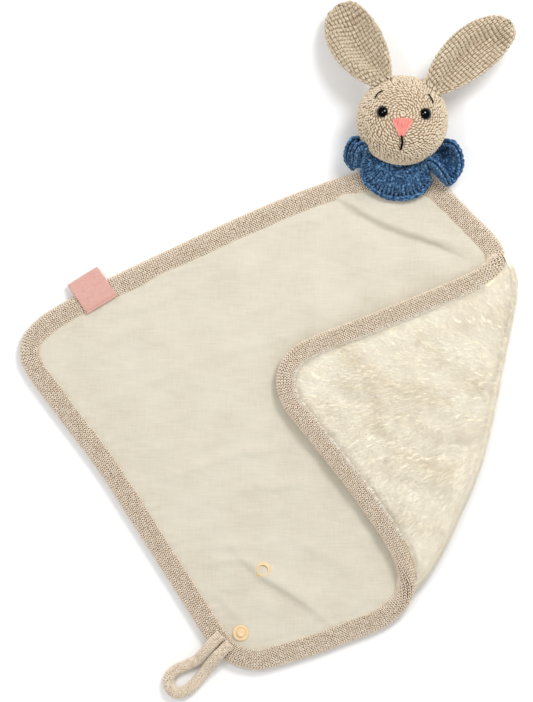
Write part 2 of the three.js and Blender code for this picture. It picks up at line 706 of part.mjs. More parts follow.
// The collar is one closed ruffle: it hugs the neck, lies down over the blanket in front, stands
// out at the sides, and is short where the head lies on it
function collar_part() {
  const neck = neck_direction;
  const right = new THREE.Vector3(1, 0, 0);
  const front = neck.clone().cross(right);
  const middle = neck.clone().multiplyScalar(collar_place);
  const floor = -head_centre.z;
  const inner_radius = neck_top_radius + gap + collar_thickness / 2;
  const half = collar_thickness / 2;
  const steps = 60;
  const rings = Array.from({ length: steps }, (_, i) => {
    const angle = (2 * Math.PI * i) / steps;
    const facing = Math.sin(angle);
    const radial = right.clone().multiplyScalar(Math.cos(angle)).addScaledVector(front, facing);
    const droop = radians(facing > 0 ? 85 * facing ** 1.5 : 0);
    const flare = radial.clone().multiplyScalar(Math.cos(droop))
      .addScaledVector(neck, Math.sin(droop));
    const normal = radial.clone().multiplyScalar(-Math.sin(droop))
      .addScaledVector(neck, Math.cos(droop));
    const behind = THREE.MathUtils.smoothstep(-facing, 0.55, 0.95);
    const reach = facing > 0
      ? THREE.MathUtils.lerp(collar_reach, collar_front_reach, facing)
      : THREE.MathUtils.lerp(collar_reach, collar_back_reach, behind);
    const wave = THREE.MathUtils.lerp(collar_wave, collar_front_wave, Math.max(0, facing));
    const sway = Math.cos(collar_lobes * angle) * wave * (1 - behind);
    const line = [0, 0.35, 0.7, 1].map((t) => {
      const place = middle.clone().addScaledVector(radial, inner_radius)
        .addScaledVector(flare, reach * t).addScaledVector(normal, sway * t);
      return place.setZ(Math.max(place.z, floor + half + gap));
    });
    return [
      ...line.map((p) => p.clone().addScaledVector(normal, half)),
      ...[...line].reverse().map((p) => p.clone().addScaledVector(normal, -half)),
    ];
  });
  const ruffle = solid_of(loft(rings, [], true));
  const neck_profile = [...ball_and_neck(-gap), new THREE.Vector2(0, -neck_reach)];
  const neck_room = new THREE.LatheGeometry(neck_profile, ball_sides).applyMatrix4(neck_turn);
  const blanket_room = layer(main_stations, false, half_width + gap, -gap, border_height + gap);
  const deep = head_radius;
  const wide = 8 * collar_reach;
  const under_floor = new THREE.BoxGeometry(wide, wide, deep);
  under_floor.translate(0, 0, floor + gap - deep / 2);
  const rooms = [
    solid_of(neck_room),
    blanket_room.translate(head_centre.clone().negate().toArray()).rotate([0, 0, -head_turn]),
    solid_of(under_floor),
  ];
  const free = rooms.reduce((rest, room) => rest.subtract(room), ruffle);
  return piece('collar_ruffle', main_piece(free), material('#3a6896', 0.9));
}

const head = new THREE.Group();
head.position.copy(head_centre);
head.rotation.z = radians(head_turn);
head.add(
  ...head_parts(),
  nose_part(),
  thread_part('mouth_stitch', [0, 0.5, 1].map((t) => (
    [0.6 * Math.sin(Math.PI * t) - 0.9, nose_top - nose_length - mouth_diameter - mouth_length * t]
  )), mouth_diameter),
  ...[['left', -1], ['right', 1]].map(([side, sign]) => thread_part(
    `brow_${side}`, [-0.5, 0, 0.5].map((t) => (
      [sign * (brow_spread + brow_length * t), brow_height - brow_length * 0.65 * t * (t + 1)]
    )), brow_diameter,
  )),
  ear_part('ear_left', left_ear),
  ear_part('ear_right', right_ear),
  collar_part(),
);

const group = new THREE.Group();
group.add(blanket, head);

export default group;
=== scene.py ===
"""Looks of the comforter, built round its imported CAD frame. Lengths in this file are in
millimetres in the row frame, and become metres where a mesh is made."""
import math

import bpy
import numpy as np
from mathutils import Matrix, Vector
from mathutils.kdtree import KDTree


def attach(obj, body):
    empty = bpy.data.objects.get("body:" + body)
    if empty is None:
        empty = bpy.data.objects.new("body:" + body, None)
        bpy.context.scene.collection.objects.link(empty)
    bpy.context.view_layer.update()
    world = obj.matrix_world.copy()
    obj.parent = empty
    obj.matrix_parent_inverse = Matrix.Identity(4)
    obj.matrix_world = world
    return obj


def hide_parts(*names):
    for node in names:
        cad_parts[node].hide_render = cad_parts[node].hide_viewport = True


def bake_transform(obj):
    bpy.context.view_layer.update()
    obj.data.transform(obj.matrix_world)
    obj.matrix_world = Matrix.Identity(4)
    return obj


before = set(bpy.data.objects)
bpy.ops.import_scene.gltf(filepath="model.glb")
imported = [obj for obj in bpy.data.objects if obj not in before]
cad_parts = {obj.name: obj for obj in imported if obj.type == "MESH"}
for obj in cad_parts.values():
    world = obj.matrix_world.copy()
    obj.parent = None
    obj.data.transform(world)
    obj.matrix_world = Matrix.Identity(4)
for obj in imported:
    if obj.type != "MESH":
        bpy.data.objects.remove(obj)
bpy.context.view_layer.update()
chance = np.random.default_rng(11)

# The photograph: its size and the row frame's origin in pixels, and a pixel's size in mm
PHOTO_WIDTH, PHOTO_HEIGHT = 533, 702
ORIGIN_X, ORIGIN_Y = 323.5, 416.9
PIXEL = 0.7
FOCAL, SENSOR = 1000.0, 36.0
CAMERA_TARGET_HEIGHT = 8.0


def mm(px, py):
    """Place in plan of a point on the photograph."""
    return np.array([(px - ORIGIN_X) * PIXEL, (ORIGIN_Y - py) * PIXEL])


def new_object(name, data):
    made = bpy.data.objects.new(name, data)
    bpy.context.scene.collection.objects.link(made)
    return made


# Camera: straight above, as in the photograph
camera_data = bpy.data.cameras.new("camera")
camera_data.lens = FOCAL
camera_data.sensor_width = SENSOR
camera_data.clip_end = 100.0
camera = new_object("camera", camera_data)
camera_height = PHOTO_HEIGHT * PIXEL * FOCAL / SENSOR + CAMERA_TARGET_HEIGHT
camera.location = (*mm(PHOTO_WIDTH / 2, PHOTO_HEIGHT / 2) / 1000, camera_height / 1000)
bpy.context.scene.camera = camera


def unit(v):
    return v / np.maximum(np.linalg.norm(v, axis=-1, keepdims=True), 1e-9)


def ease(t):
    """A smooth step from 0 to 1."""
    t = np.clip(t, 0, 1)
    return t * t * (3 - 2 * t)


def bump(d, width):
    return np.exp(-((d / width) ** 2))


def distances(points):
    """How far along the line through them each point is."""
    return np.concatenate([[0], np.cumsum(np.linalg.norm(np.diff(points, axis=0), axis=1))])


# Meshes
def make_mesh(name, verts, polygons, look):
    """polygons is a list of integer arrays, each (count, corners)."""
    mesh = bpy.data.meshes.new(name)
    verts = np.asarray(verts, np.float32).reshape(-1, 3) / 1000
    mesh.vertices.add(len(verts))
    mesh.vertices.foreach_set("co", verts.ravel())
    loops = np.concatenate([p.ravel() for p in polygons]).astype(np.int32)
    totals = np.concatenate([np.full(len(p), p.shape[1]) for p in polygons])
    starts = np.concatenate([[0], np.cumsum(totals)[:-1]]).astype(np.int32)
    mesh.loops.add(len(loops))
    mesh.loops.foreach_set("vertex_index", loops)
    mesh.polygons.add(len(starts))
    mesh.polygons.foreach_set("loop_start", starts)
    mesh.update(calc_edges=True)
    mesh.validate()
    mesh.polygons.foreach_set("use_smooth", np.ones(len(mesh.polygons), bool))
    mesh.materials.append(look)
    return new_object(name, mesh)


def grid(points, wrap_u=False, wrap_v=False, flip=False):
    """Quads over a (rows, columns, 3) array of points."""
    rows, columns = points.shape[:2]
    i = np.arange(rows if wrap_u else rows - 1)[:, None]
    j = np.arange(columns if wrap_v else columns - 1)[None, :]
    k, m = (i + 1) % rows * columns, (j + 1) % columns
    i = i * columns
    quads = np.stack([i + j, k + j, k + m, i + m], -1).reshape(-1, 4)
    return quads[:, ::-1] if flip else quads


def tube(points, flip=False):
    """The faces of a tube over rows of points, and its two ends."""
    first = np.arange(points.shape[1])[None]
    last = first + (len(points) - 1) * points.shape[1]
    return [grid(points, wrap_v=True, flip=flip), first[:, ::-1], last]


def strand_data(lines, radius, up, sides=5, flat=1.0):
    """Tubes along lines (n, m, 3), of radius (n, m), whose flat side faces up (n, m, 3)."""
    n, m = lines.shape[:2]
    along = unit(np.gradient(lines, axis=1))
    side = unit(np.cross(along, up))
    top = np.cross(side, along)
    around = np.arange(sides)
    turn = 2 * np.pi * around[:, None] / sides
    ring = np.cos(turn) * side[:, :, None] + flat * np.sin(turn) * top[:, :, None]
    verts = lines[:, :, None] + radius[:, :, None, None] * ring
    first = (np.arange(n) * m * sides)[:, None]
    quads = first[:, :, None] + grid(ring[0], wrap_v=True)
    ends = [first + around, first + (m - 1) * sides + around[::-1]]
    return verts.reshape(-1, 3), [quads.reshape(-1, 4), np.concatenate(ends)]


def joined(parts):
    """Several (verts, polygons) as one."""
    verts, polygons, first = [], [], 0
    for v, p in parts:
        v = np.asarray(v, float).reshape(-1, 3)
        verts.append(v)
        polygons += [np.asarray(q) + first for q in p]
        first += len(v)
    return np.concatenate(verts), polygons


def above_floor(verts, lowest=0.15):
    verts = verts.copy()
    verts[..., 2] = np.maximum(verts[..., 2], lowest)
    return verts


def path_of(points, step):
    """Points spaced evenly on a smooth curve through the given ones, with their distances."""
    p = np.array(points, float)
    p = p[np.clip(np.arange(-1, len(p) + 1), 0, len(p) - 1)]
    t = np.linspace(0, 1, 24, endpoint=False)[:, None]
    out = []
    for a, b, c, d in zip(p[:-3], p[1:-2], p[2:-1], p[3:]):
        out.append(0.5 * (2 * b + (c - a) * t + (2 * a - 5 * b + 4 * c - d) * t ** 2
                          + (3 * b - 3 * c + d - a) * t ** 3))
    line = np.concatenate([*out, p[-1:]])
    far = distances(line[:, :3])
    s = np.linspace(0, far[-1], max(3, int(round(far[-1] / step)) + 1))
    return np.stack([np.interp(s, far, column) for column in line.T], -1), s


def line_on(points):
    """A smooth line in plan through points on the photograph."""
    return path_of([(*mm(*p), 0) for p in points], 2.0)[0][:, :2]


class Run:
    """A soft tube along a path. s is the distance along it, v the share of its girth from 0 to 1.
    Its section is a rounded box, whose face and thickness can change along the path."""

    def __init__(self, points, half_width, half_height, power, step, face=None, scale=None):
        line, self.s = path_of(points, step)
        self.length = self.s[-1]
        place = line[:, :3]
        along = unit(np.gradient(place, axis=0))
        face = np.tile([0.0, 0.0, 1.0], (len(place), 1)) if face is None else face(line)
        across = unit(np.cross(along, face))
        thick = np.ones(len(place)) if scale is None else scale(line)
        self.table = np.concatenate([place, across, np.cross(across, along), thick[:, None]], 1)
        a = np.linspace(0, 2 * np.pi, 241)
        self.section = []
        for c, half in ((np.cos(a), half_width), (np.sin(a), half_height)):
            self.section.append(half * np.sign(c) * np.abs(c) ** (2 / power))
            self.section.append(np.sign(c) * np.abs(c) ** (2 - 2 / power) / half)
        far = distances(np.column_stack(self.section[::2]))
        self.v = far / far[-1]

    def skin(self, s, v):
        t = np.stack([np.interp(s, self.s, column) for column in self.table.T], -1)
        x, nx, y, ny = (np.interp(v % 1.0, self.v, q)[..., None] for q in self.section)
        across, face, thick = t[..., 3:6], t[..., 6:9], t[..., 9:]
        return t[..., :3] + across * x + face * y * thick, unit(across * nx + face * ny)

    def core(self, s, around, depth):
        """Rows of points at s, at that depth under the skin."""
        skin, normal = self.skin(*np.meshgrid(s, np.arange(around) / around, indexing="ij"))
        return skin - depth * normal


def between(table, i, j):
    """Values between the rows and columns of a table, at places that needn't be whole."""
    row, column = i.astype(int), j.astype(int)
    f, g = (i - row)[..., None], (j - column)[..., None]
    after = (column + 1) % table.shape[1]
    return ((table[row, column] * (1 - g) + table[row, after] * g) * (1 - f)
            + (table[row + 1, column] * (1 - g) + table[row + 1, after] * g) * f)


# Stitches
def courses(rows, columns, start=0.0):
    """Places along and round a tube, for rows of that many stitches."""
    return np.repeat(rows, columns), np.tile((np.arange(columns) + start) / columns, len(rows))


def rounds(rows, girths, width, starts):
    """Places along and round a swelling form, and each stitch's share of its row."""
    counts = np.array([max(5, int(round(girth / width))) for girth in girths])
    v = [(np.arange(count) + start) / count for count, start in zip(counts, starts)]
    return np.repeat(rows, counts), np.concatenate(v), np.repeat(1 / counts, counts)


def knit_data(skin, u, v, du, dv, radius, lift=0.35, lean=0.3, points=4, sides=5, sink=0.15, loose=0.06,
              reach=1.32, apart=0.1, slant=0.0, thin=0.5):
    """Two plump legs of yarn for each stitch at (u, v), du long and dv wide. The legs start that
    far apart and lean away from each other, and both slant by the same share of dv."""
    u, v, du, dv = (q[:, None] for q in np.broadcast_arrays(u, v, du, dv))
    t = np.linspace(0, 1, points)
    rise = lift * np.sin(np.pi * np.clip(t * 0.9 + 0.05, 0, 1)) - sink
    fat = radius * (thin + (1 - thin) * np.sin(np.pi * (0.06 + 0.88 * t)))
    lines, ups, radii = [], [], []
    for sign in (-1, 1):
        wobble = chance.normal(0, loose, (len(u), 3))
        p, normal = skin(u + du * (reach * (t - 0.5) + wobble[:, :1]),
                         v + dv * (sign * (apart + lean * t) + slant * (t - 0.5) + wobble[:, 1:2]))
        lines.append(p + normal * (rise[None, :, None] + 0.5 * lift * wobble[:, 2:3, None]))
        ups.append(normal)
        radii.append(fat * (1 + wobble[:, 2:3]))
    return strand_data(np.concatenate(lines), np.concatenate(radii), np.concatenate(ups), sides)


# Materials. Colours are written as they look in the picture. They are turned into linear ones,
# a little darker because the light on them is more than 1, and lighter for a form of which only
# the share lit gets the light: knitting and pile shade themselves.
LIGHT_LEVEL = 1.2


def linear(rgb, lit):
    c = np.array(rgb, float) / 255
    c = np.where(c <= 0.04045, c / 12.92, ((c + 0.055) / 1.055) ** 2.4) / (LIGHT_LEVEL * lit)
    return tuple(np.minimum(c, 0.985)) + (1.0,)


def add_node(tree, kind, inputs, operation=None):
    """A new node. Each of its inputs is given a value or the output that feeds it."""
    node = tree.nodes.new("ShaderNode" + kind)
    if operation:
        node.operation = operation
    for socket, value in inputs.items():
        if isinstance(value, bpy.types.NodeSocket):
            tree.links.new(value, node.inputs[socket])
        else:
            node.inputs[socket].default_value = value
    return node


def look(name, tones, patches, bumps=(), spread=0.3, roughness=0.85, sheen=0.0, specular=0.3,
         turn=0.0, lit=1.0):
    """tones is a ramp of colours, spread that far to both sides of the noise's middle. patches
    and bumps are noises: size in mm, weight or height in mm, and stretch along x and y."""
    made = bpy.data.materials.new(name)
    made.use_nodes = True
    tree = made.node_tree
    shader = tree.nodes["Principled BSDF"]
    shader.inputs["Roughness"].default_value = roughness
    shader.inputs["Specular IOR Level"].default_value = specular
    shader.inputs["Sheen Weight"].default_value = sheen
    shader.inputs["Sheen Roughness"].default_value = 0.6
    place = add_node(tree, "TexCoord", {}).outputs["Object"]

    def noise(size, stretch_x=1.0, stretch_y=1.0):
        rotation, scale = (0, 0, math.radians(-turn)), (1 / stretch_x, 1 / stretch_y, 1)
        mapping = add_node(tree, "Mapping", {"Vector": place, "Rotation": rotation, "Scale": scale})
        inputs = {"Vector": mapping.outputs["Vector"], "Scale": 1000 / size, "Detail": 2.0}
        return add_node(tree, "TexNoise", inputs).outputs["Fac"]

    total = 0.5 - 0.5 * sum(weight for _, weight, *_ in patches)
    for size, weight, *stretch in patches:
        inputs = {0: noise(size, *stretch), 1: weight, 2: total}
        total = add_node(tree, "Math", inputs, "MULTIPLY_ADD").outputs[0]
    ramp = add_node(tree, "ValToRGB", {"Fac": total})
    elements = ramp.color_ramp.elements
    while len(elements) < len(tones):
        elements.new(0.5)
    for element, at, colour in zip(elements, np.linspace(0.5 - spread, 0.5 + spread, len(tones)), tones):
        element.position = at
        element.color = linear(colour, lit)
    tree.links.new(ramp.outputs["Color"], shader.inputs["Base Color"])
    below = {}
    for size, height, *stretch in bumps:
        inputs = {"Strength": 1.0, "Distance": height / 1000, "Height": noise(size, *stretch), **below}
        below = {"Normal": add_node(tree, "Bump", inputs).outputs["Normal"]}
    if below:
        tree.links.new(below["Normal"], shader.inputs["Normal"])
    return made


WEAVE_TURN, TAPE_TURN = 23.0, 32.0
FLEECE = {"patches": [(14, 0.8, 2, 1), (2.5, 0.7)], "spread": 0.25, "roughness": 0.95, "sheen": 0.2}
FUR = {"patches": [(12, 0.8, 2, 1), (1.5, 0.7)], "roughness": 1.0, "specular": 0.05}
HEAD_YARN = {"patches": [(1.6, 0.9), (0.35, 0.6)], "bumps": [(0.3, 0.1)], "roughness": 0.7, "sheen": 0.08}
# The dark insides under the knitting are painted shade: they darken the gaps between the stitches
PAINTED_SHADE_INSIDE = {"patches": [(2, 1.0)], "bumps": [(0.6, 0.2)], "spread": 0.2, "roughness": 1.0}
muslin_look = look(
    "muslin", [(219, 210, 189), (231, 223, 204), (238, 231, 213)],
    [(0.9, 0.45, 16, 1), (0.9, 0.35, 1, 12), (25, 0.5)],
    [(0.55, 0.07, 5, 1), (0.55, 0.07, 1, 5), (7, 0.3, 2.5, 1)], roughness=0.9, sheen=0.1, turn=WEAVE_TURN)
plush_look = look(
    "plush", [(232, 222, 200), (238, 230, 210), (243, 237, 220)], bumps=[(1.2, 0.12)], lit=0.71, **FLEECE)
fleece_look = look(
    "fleece_underside", [(236, 226, 204), (241, 233, 214), (246, 240, 224)], bumps=[(1.2, 0.3)], lit=0.95,
    **FLEECE)
fur_look = look("fur", [(241, 233, 215), (246, 239, 224), (250, 245, 233)], lit=0.81, **FUR)
# painted shade: a darker copy of the fur, for the strands in the hollows between the waves
fur_painted_shade_look = look(
    "fur_painted_shade", [(229, 218, 195), (234, 224, 203), (240, 232, 213)], lit=0.82, **FUR)
border_look = look(
    "border_knit", [(188, 168, 144), (208, 194, 175), (226, 216, 202)],
    [(2.4, 0.7), (0.6, 0.25)], [(0.3, 0.08)], roughness=0.9, sheen=0.05, lit=0.65)
border_core_painted_shade_look = look("border_inside_painted_shade", [(112, 84, 56), (142, 114, 84)], lit=0.7, **PAINTED_SHADE_INSIDE)
yarn_look = look("head_yarn", [(190, 170, 141), (213, 197, 173), (230, 218, 198)], lit=0.75, **HEAD_YARN)
# painted shade: the head's yarn made darker and with deeper darks, for the shade on the ears
ear_painted_shade_look = look("ear_yarn_painted_shade", [(158, 134, 102), (206, 189, 163), (238, 227, 207)], lit=0.86, **HEAD_YARN)
# painted shade: a dark inside for the head and ears, seen in the gaps between the stitches
yarn_core_painted_shade_look = look("yarn_inside_painted_shade", [(156, 132, 102), (180, 156, 125)], lit=0.7, **PAINTED_SHADE_INSIDE)
collar_look = look(
    "collar_yarn", [(4, 26, 56), (36, 79, 120), (116, 160, 196)],
    [(1.8, 1.3), (0.4, 0.7)], [(0.3, 0.12)], sheen=0.08, lit=0.7)
# painted shade: a dark sheet under the collar's stitches, seen in the gaps between them
collar_sheet_painted_shade_look = look("collar_inside_painted_shade", [(12, 32, 58), (22, 48, 80)], **PAINTED_SHADE_INSIDE)
nose_look = look(
    "nose_thread", [(230, 122, 114), (243, 150, 140), (250, 174, 163)],
    [(0.8, 0.8, 1, 3)], [(0.25, 0.06, 1, 3)], roughness=0.55, sheen=0.1, lit=0.85)
thread_look = look(
    "dark_thread", [(5, 5, 5), (15, 13, 12)], [(0.6, 1.0)], [(0.3, 0.08)], 0.2, roughness=0.6,
    specular=0.12)
eye_look = look("eye_gloss", [(4, 4, 4), (9, 8, 8)], [(3, 1.0)], (), 0.2, roughness=0.04, specular=0.5)
snap_look = look(
    "snap_plastic", [(246, 212, 160), (253, 226, 184)], [(4, 1.0)], [(0.8, 0.01)], 0.2,
    roughness=0.3, specular=0.4, lit=0.9)
label_look = look(
    "label_tape", [(222, 164, 152), (232, 178, 166), (238, 188, 176)], [(0.8, 0.6, 6, 1), (0.8, 0.5, 1, 6)],
    [(0.4, 0.05, 5, 1), (0.4, 0.05, 1, 5)], 0.25, roughness=0.6, sheen=0.1, turn=TAPE_TURN)
label_thread_look = look(
    "label_thread", [(222, 150, 138), (244, 190, 178)], [(0.8, 1.0)], [(0.3, 0.05)], 0.2, roughness=0.7)
washer_look = look(
    "washer_nylon", [(226, 222, 212), (240, 236, 228)], [(3, 1.0)], [(0.6, 0.02)], 0.2, roughness=0.5)

# The knitted border. Its path follows the photograph: flat round the blanket, then over the
# fold and along the folded corner. Each point is x and y on the photograph and, where it isn't
# flat, the height of its middle and how far it has rolled over, in half turns.
LOW, HIGH = 4.2, 13.0
FOLD_HEIGHT = 8.6
high_turn = [
    (456, 211), (468, 223.5), (481, 236), (490, 246.5, 4.4, 0.03), (495.5, 257, 6.2, 0.22),
    (493.5, 267.5, 9.4, 0.6), (483, 276.5, 12.2, 0.92),
]
folded_sides = [
    (468, 285), (440, 297), (410, 309.5), (380, 321.5), (352, 332), (330, 340.5), (311, 348.5),
    (297, 357.5), (288.5, 370), (287, 385), (292, 400.5), (302, 415), (316, 432), (332, 452),
    (347, 471), (362, 491), (376.5, 511.5),
]
low_turn = [
    (389, 530, HIGH, 0.98), (398.5, 546, 12.4, 0.93), (405, 562, 11.2, 0.78), (407.5, 578, 9.4, 0.58),
    (404, 593, 7.2, 0.36), (394.5, 606.5, 5.4, 0.16), (380, 618, 4.4, 0.04),
]
flat_sides = [
    (362, 626), (342, 633.5), (320, 642), (297, 649.5), (277, 655.5), (258.5, 659.5), (241, 656.5),
    (227.5, 649), (217.5, 637.5), (206, 620), (190, 594.5), (164, 553.5), (138, 512.5), (112, 472),
    (92, 444), (70.5, 416), (50, 388.5), (37.5, 371), (30.5, 355), (33.5, 340), (44, 327.5), (60, 316.5),
    (86, 302), (116, 286.5), (150, 270), (184, 254), (218, 238), (250, 223.5), (284, 209), (314, 197.5),
    (343, 187.5), (366, 182), (390, 179), (412, 180.5), (434, 189), (444, 199), (456, 211),
]
FOLD_LOW, FOLD_HIGH = np.array([56.35, -132.4]), np.array([127.05, 111.9])
FOLD_ALONG = unit(FOLD_HIGH - FOLD_LOW)
FOLD_OUT = np.array([FOLD_ALONG[1], -FOLD_ALONG[0]])


def on_photo(px, py, z=LOW, roll=0.0):
    return (*mm(px, py), z, roll)


def border_face(line):
    turn = np.pi * np.clip(line[:, 3], 0, 1)[:, None]
    return np.cos(turn) * np.array([0, 0, 1.0]) - np.sin(turn) * np.array([*FOLD_OUT, 0])


def border_thickness(line):
    return 1 + 0.55 * np.sin(np.pi * np.clip(line[:, 3], 0, 1)) ** 2


border_path = [on_photo(*p) for p in high_turn] + [on_photo(*p, HIGH, 1) for p in folded_sides]
border_path += [on_photo(*p) for p in low_turn + flat_sides]
BORDER_HALF_WIDTH, BORDER_HALF_HEIGHT, BORDER_POWER = 7.0, 4.15, 2.3
border = Run(border_path, BORDER_HALF_WIDTH, BORDER_HALF_HEIGHT, BORDER_POWER, 0.8, border_face,
             border_thickness)


def s_near(px, py):
    """How far along the border a point on the photograph is."""
    return border.s[np.argmin(np.linalg.norm(border.table[:, :2] - mm(px, py), axis=1))]


# The tab's fold line, its direction and middle. The tab's pieces have their transform baked in
TAB_DIRECTION, TAB_MIDDLE = np.array([-0.33187, -0.94332, 0]), np.array([-50.125, -129.2, 0])


def tab_blend(piece):
    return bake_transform(piece)


# The turns over the fold, from where they leave the flat border to where they lie on the folded corner.
# Their ends' points are found, and the pieces have their transform baked in
def turn_blend(piece, flat_end, flap_end):
    a, b = (border.skin(np.array([s]), np.array([0.25]))[0][0] for s in (flat_end, flap_end))
    a[2], b[2] = LOW, HIGH
    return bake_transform(piece)


STITCH, BORDER_COLUMNS = 1.8, 16
s_high_flat, s_high_flap = s_near(484, 239.5), s_near(474, 282)
s_low_flap, s_low_flat = s_near(392, 535), s_near(372, 622)
s_tab_start, s_tab_end, s_left = s_near(350, 630), s_near(150, 531), s_near(34, 340)
border_sections = [
    ("border_knit_high_turn", s_high_flat, s_high_flap, "turn_high", ["border_turn_high"]),
    ("border_knit_flap", s_high_flap, s_low_flap, "flap", ["border_flap"]),
    ("border_knit_low_turn", s_low_flap, s_low_flat, "turn_low", ["border_turn_low"]),
    ("border_knit_low_side", s_low_flat, s_tab_start, "blanket", []),
    ("border_knit_tab", s_tab_start, s_tab_end, "tab", ["border_tab", "border_low_side"]),
    ("border_knit_left_side", s_tab_end, s_left, "blanket", []),
    ("border_knit_head_side", s_left, border.length, "blanket", ["border_head_side"]),
    ("border_knit_head_corner", 0.0, s_high_flat, "blanket", []),
]


def border_piece(name, s0, s1, body, nodes):
    count = max(2, int(round((s1 - s0) / STITCH)))
    step = (s1 - s0) / count
    s, v = courses((np.arange(count) + 0.5) * step + s0, BORDER_COLUMNS, 0.5)
    verts, polygons = knit_data(border.skin, s, v, step, 1 / BORDER_COLUMNS, radius=0.5, lift=0.5,
                                sink=0.35, loose=0.03, reach=1.0)
    piece = make_mesh(name, above_floor(verts), polygons, border_look)
    # a dark core under the stitches: painted shade in the gaps between them
    core = border.core(np.linspace(s0 - 0.4, s1 + 0.4, max(3, int((s1 - s0) / 2.0))), 32, 0.75)
    inside = make_mesh(name + "_core", above_floor(core, 0.4), [grid(core, wrap_v=True)], border_core_painted_shade_look)
    for part in (piece, inside):
        if body == "tab":
            tab_blend(part)
        elif body == "turn_high":
            turn_blend(part, s0, s1)
        elif body == "turn_low":
            turn_blend(part, s1, s0)
        else:
            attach(part, body)
    if nodes:
        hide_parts(*nodes)


for section in border_sections:
    border_piece(*section)

# The loop of cord, on the route that the part's source gives from the loop's corner
CORD_DIAMETER, CORD_STITCH, CORD_COLUMNS = 7.4, 1.5, 13
LOOP_CORNER = np.array([-57.45, -179.0, 0])
cord_route = np.array([
    [-14.3, 26.7, 12.4], [-20, 20.7, 12.2], [-25.8, 14.4, 9.6], [-30.5, 9.2, 5.8],
    [-36.5, 6, 3.85], [-43.3, 3.1, 3.85], [-48.8, -0.4, 3.85], [-51, -5.3, 3.85],
    [-50.2, -10.2, 3.85], [-47.2, -13.6, 3.85], [-42.8, -14.1, 3.85], [-36.5, -11.2, 3.85],
    [-30.6, -5.3, 3.85], [-25.1, 1.5, 5.4], [-20, 8.1, 9.2], [-14.6, 14.1, 12.2], [-8.3, 20, 12.4],
]) + LOOP_CORNER
cord = Run(cord_route, CORD_DIAMETER / 2, CORD_DIAMETER / 2, 2.0, 0.6)
s, v = courses(np.arange(0.5, cord.length / CORD_STITCH) * CORD_STITCH, CORD_COLUMNS)
verts, polygons = knit_data(cord.skin, s, v, CORD_STITCH, 1 / CORD_COLUMNS, radius=0.5, sides=4,
                            sink=0.45, reach=1.25)
# the cord's dark core: painted shade in the gaps between its stitches
core = cord.core(np.linspace(0, cord.length, 140), 20, 0.5)
cord_core = make_mesh("loop_cord_core", core, tube(core), border_core_painted_shade_look)
loop_knit = make_mesh("loop_cord_knit", above_floor(verts), polygons, border_look)
for part in (cord_core, loop_knit):
    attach(part, "tab")
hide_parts("loop_cord")


# The blanket's cloth. Both layers are height fields over plan outlines, on square cells.
def inside_of(polygon, x, y):
    inside = np.zeros(x.shape, bool)
    for (ax, ay), (bx, by) in zip(polygon, np.roll(polygon, -1, 0)):
        crosses = (ay > y) != (by > y)
        with np.errstate(divide="ignore", invalid="ignore"):
            at = (bx - ax) * (y - ay) / (by - ay) + ax
        inside ^= crosses & (x < at)
    return inside


def far_from(polyline, x, y):
    """Shortest distance from each point to an open line."""
    best = np.full(x.shape, 1e9)
    for a, b in zip(polyline[:-1], polyline[1:]):
        d = b - a
        t = np.clip(((x - a[0]) * d[0] + (y - a[1]) * d[1]) / max(d @ d, 1e-9), 0, 1)
        best = np.minimum(best, np.hypot(x - a[0] - t * d[0], y - a[1] - t * d[1]))
    return best


def far_from_ends(line, x, y):
    """Distance from each point to the nearer end of a line."""
    return np.minimum(*(np.hypot(x - end[0], y - end[1]) for end in (line[0], line[-1])))


def cells(polygon, size):
    """Cell corners and quads of a square grid whose cells lie inside the outline."""
    lo, hi = polygon.min(0), polygon.max(0)
    nx, ny = (int(v) + 2 for v in (hi - lo) / size)
    gx, gy = np.meshgrid(lo[0] + size * np.arange(nx), lo[1] + size * np.arange(ny), indexing="ij")
    keep = inside_of(polygon, gx[:-1, :-1] + size / 2, gy[:-1, :-1] + size / 2)
    i, j = np.nonzero(keep)
    quads = np.stack([i * ny + j, (i + 1) * ny + j, (i + 1) * ny + j + 1, i * ny + j + 1], -1)
    used, at = np.unique(quads, return_inverse=True)
    return gx.ravel()[used], gy.ravel()[used], at.reshape(-1, 4)


def smooth_noise(x, y, size, seed, octaves=2):
    """Gentle noise between about -1 and 1, with features of that size in mm."""
    made = np.random.default_rng(seed)
    total = np.zeros(x.shape)
    for k in range(octaves):
        for _ in range(7):
            angle, phase = made.uniform(0, 2 * np.pi, 2)
            wave = 2 * np.pi / (size / 2 ** k) * made.uniform(0.7, 1.3)
            total += np.sin(wave * (x * np.cos(angle) + y * np.sin(angle)) + phase) / (3.2 * 2 ** k)
    return total


# The fold's outline in plan: where the soft roll stands out furthest
roll_edge = line_on([
    (507, 256), (512, 268), (515.5, 281), (515.2, 296), (512.5, 314), (508.5, 334), (503.5, 360),
    (497.8, 388), (491.5, 419), (484, 450.4), (473.5, 482), (459.7, 512.6), (448, 539), (435.5, 562),
    (424.5, 578), (412, 590), (400, 597),
])
ROLL_INSET = 17
centre = border.table[:, :2]
flat_part = np.concatenate([centre[border.s >= s_low_flat - 12], centre[border.s <= s_high_flat + 6]])
flap_part = centre[(border.s >= s_high_flat + 8) & (border.s <= s_low_flat - 8)]
inset = 3 + (ROLL_INSET - 3) * ease(far_from_ends(roll_edge, *roll_edge.T) / 45)
main_outline = np.concatenate([flat_part, (roll_edge - inset[:, None] * FOLD_OUT)[2:-1]])
flap_outline = np.concatenate([flap_part, roll_edge[::-1]])


def roll_strip(degrees, reach, rise):
    """Rows of points round the fold's roll, from angles at its edge."""
    angle = np.radians(degrees)[:, None, None]
    plan = roll_edge - (ROLL_INSET - reach * np.cos(angle)) * FOLD_OUT
    height = FOLD_HEIGHT + rise * np.sin(angle) + np.zeros((len(degrees), len(roll_edge), 1))
    return np.concatenate([plan, height], -1)


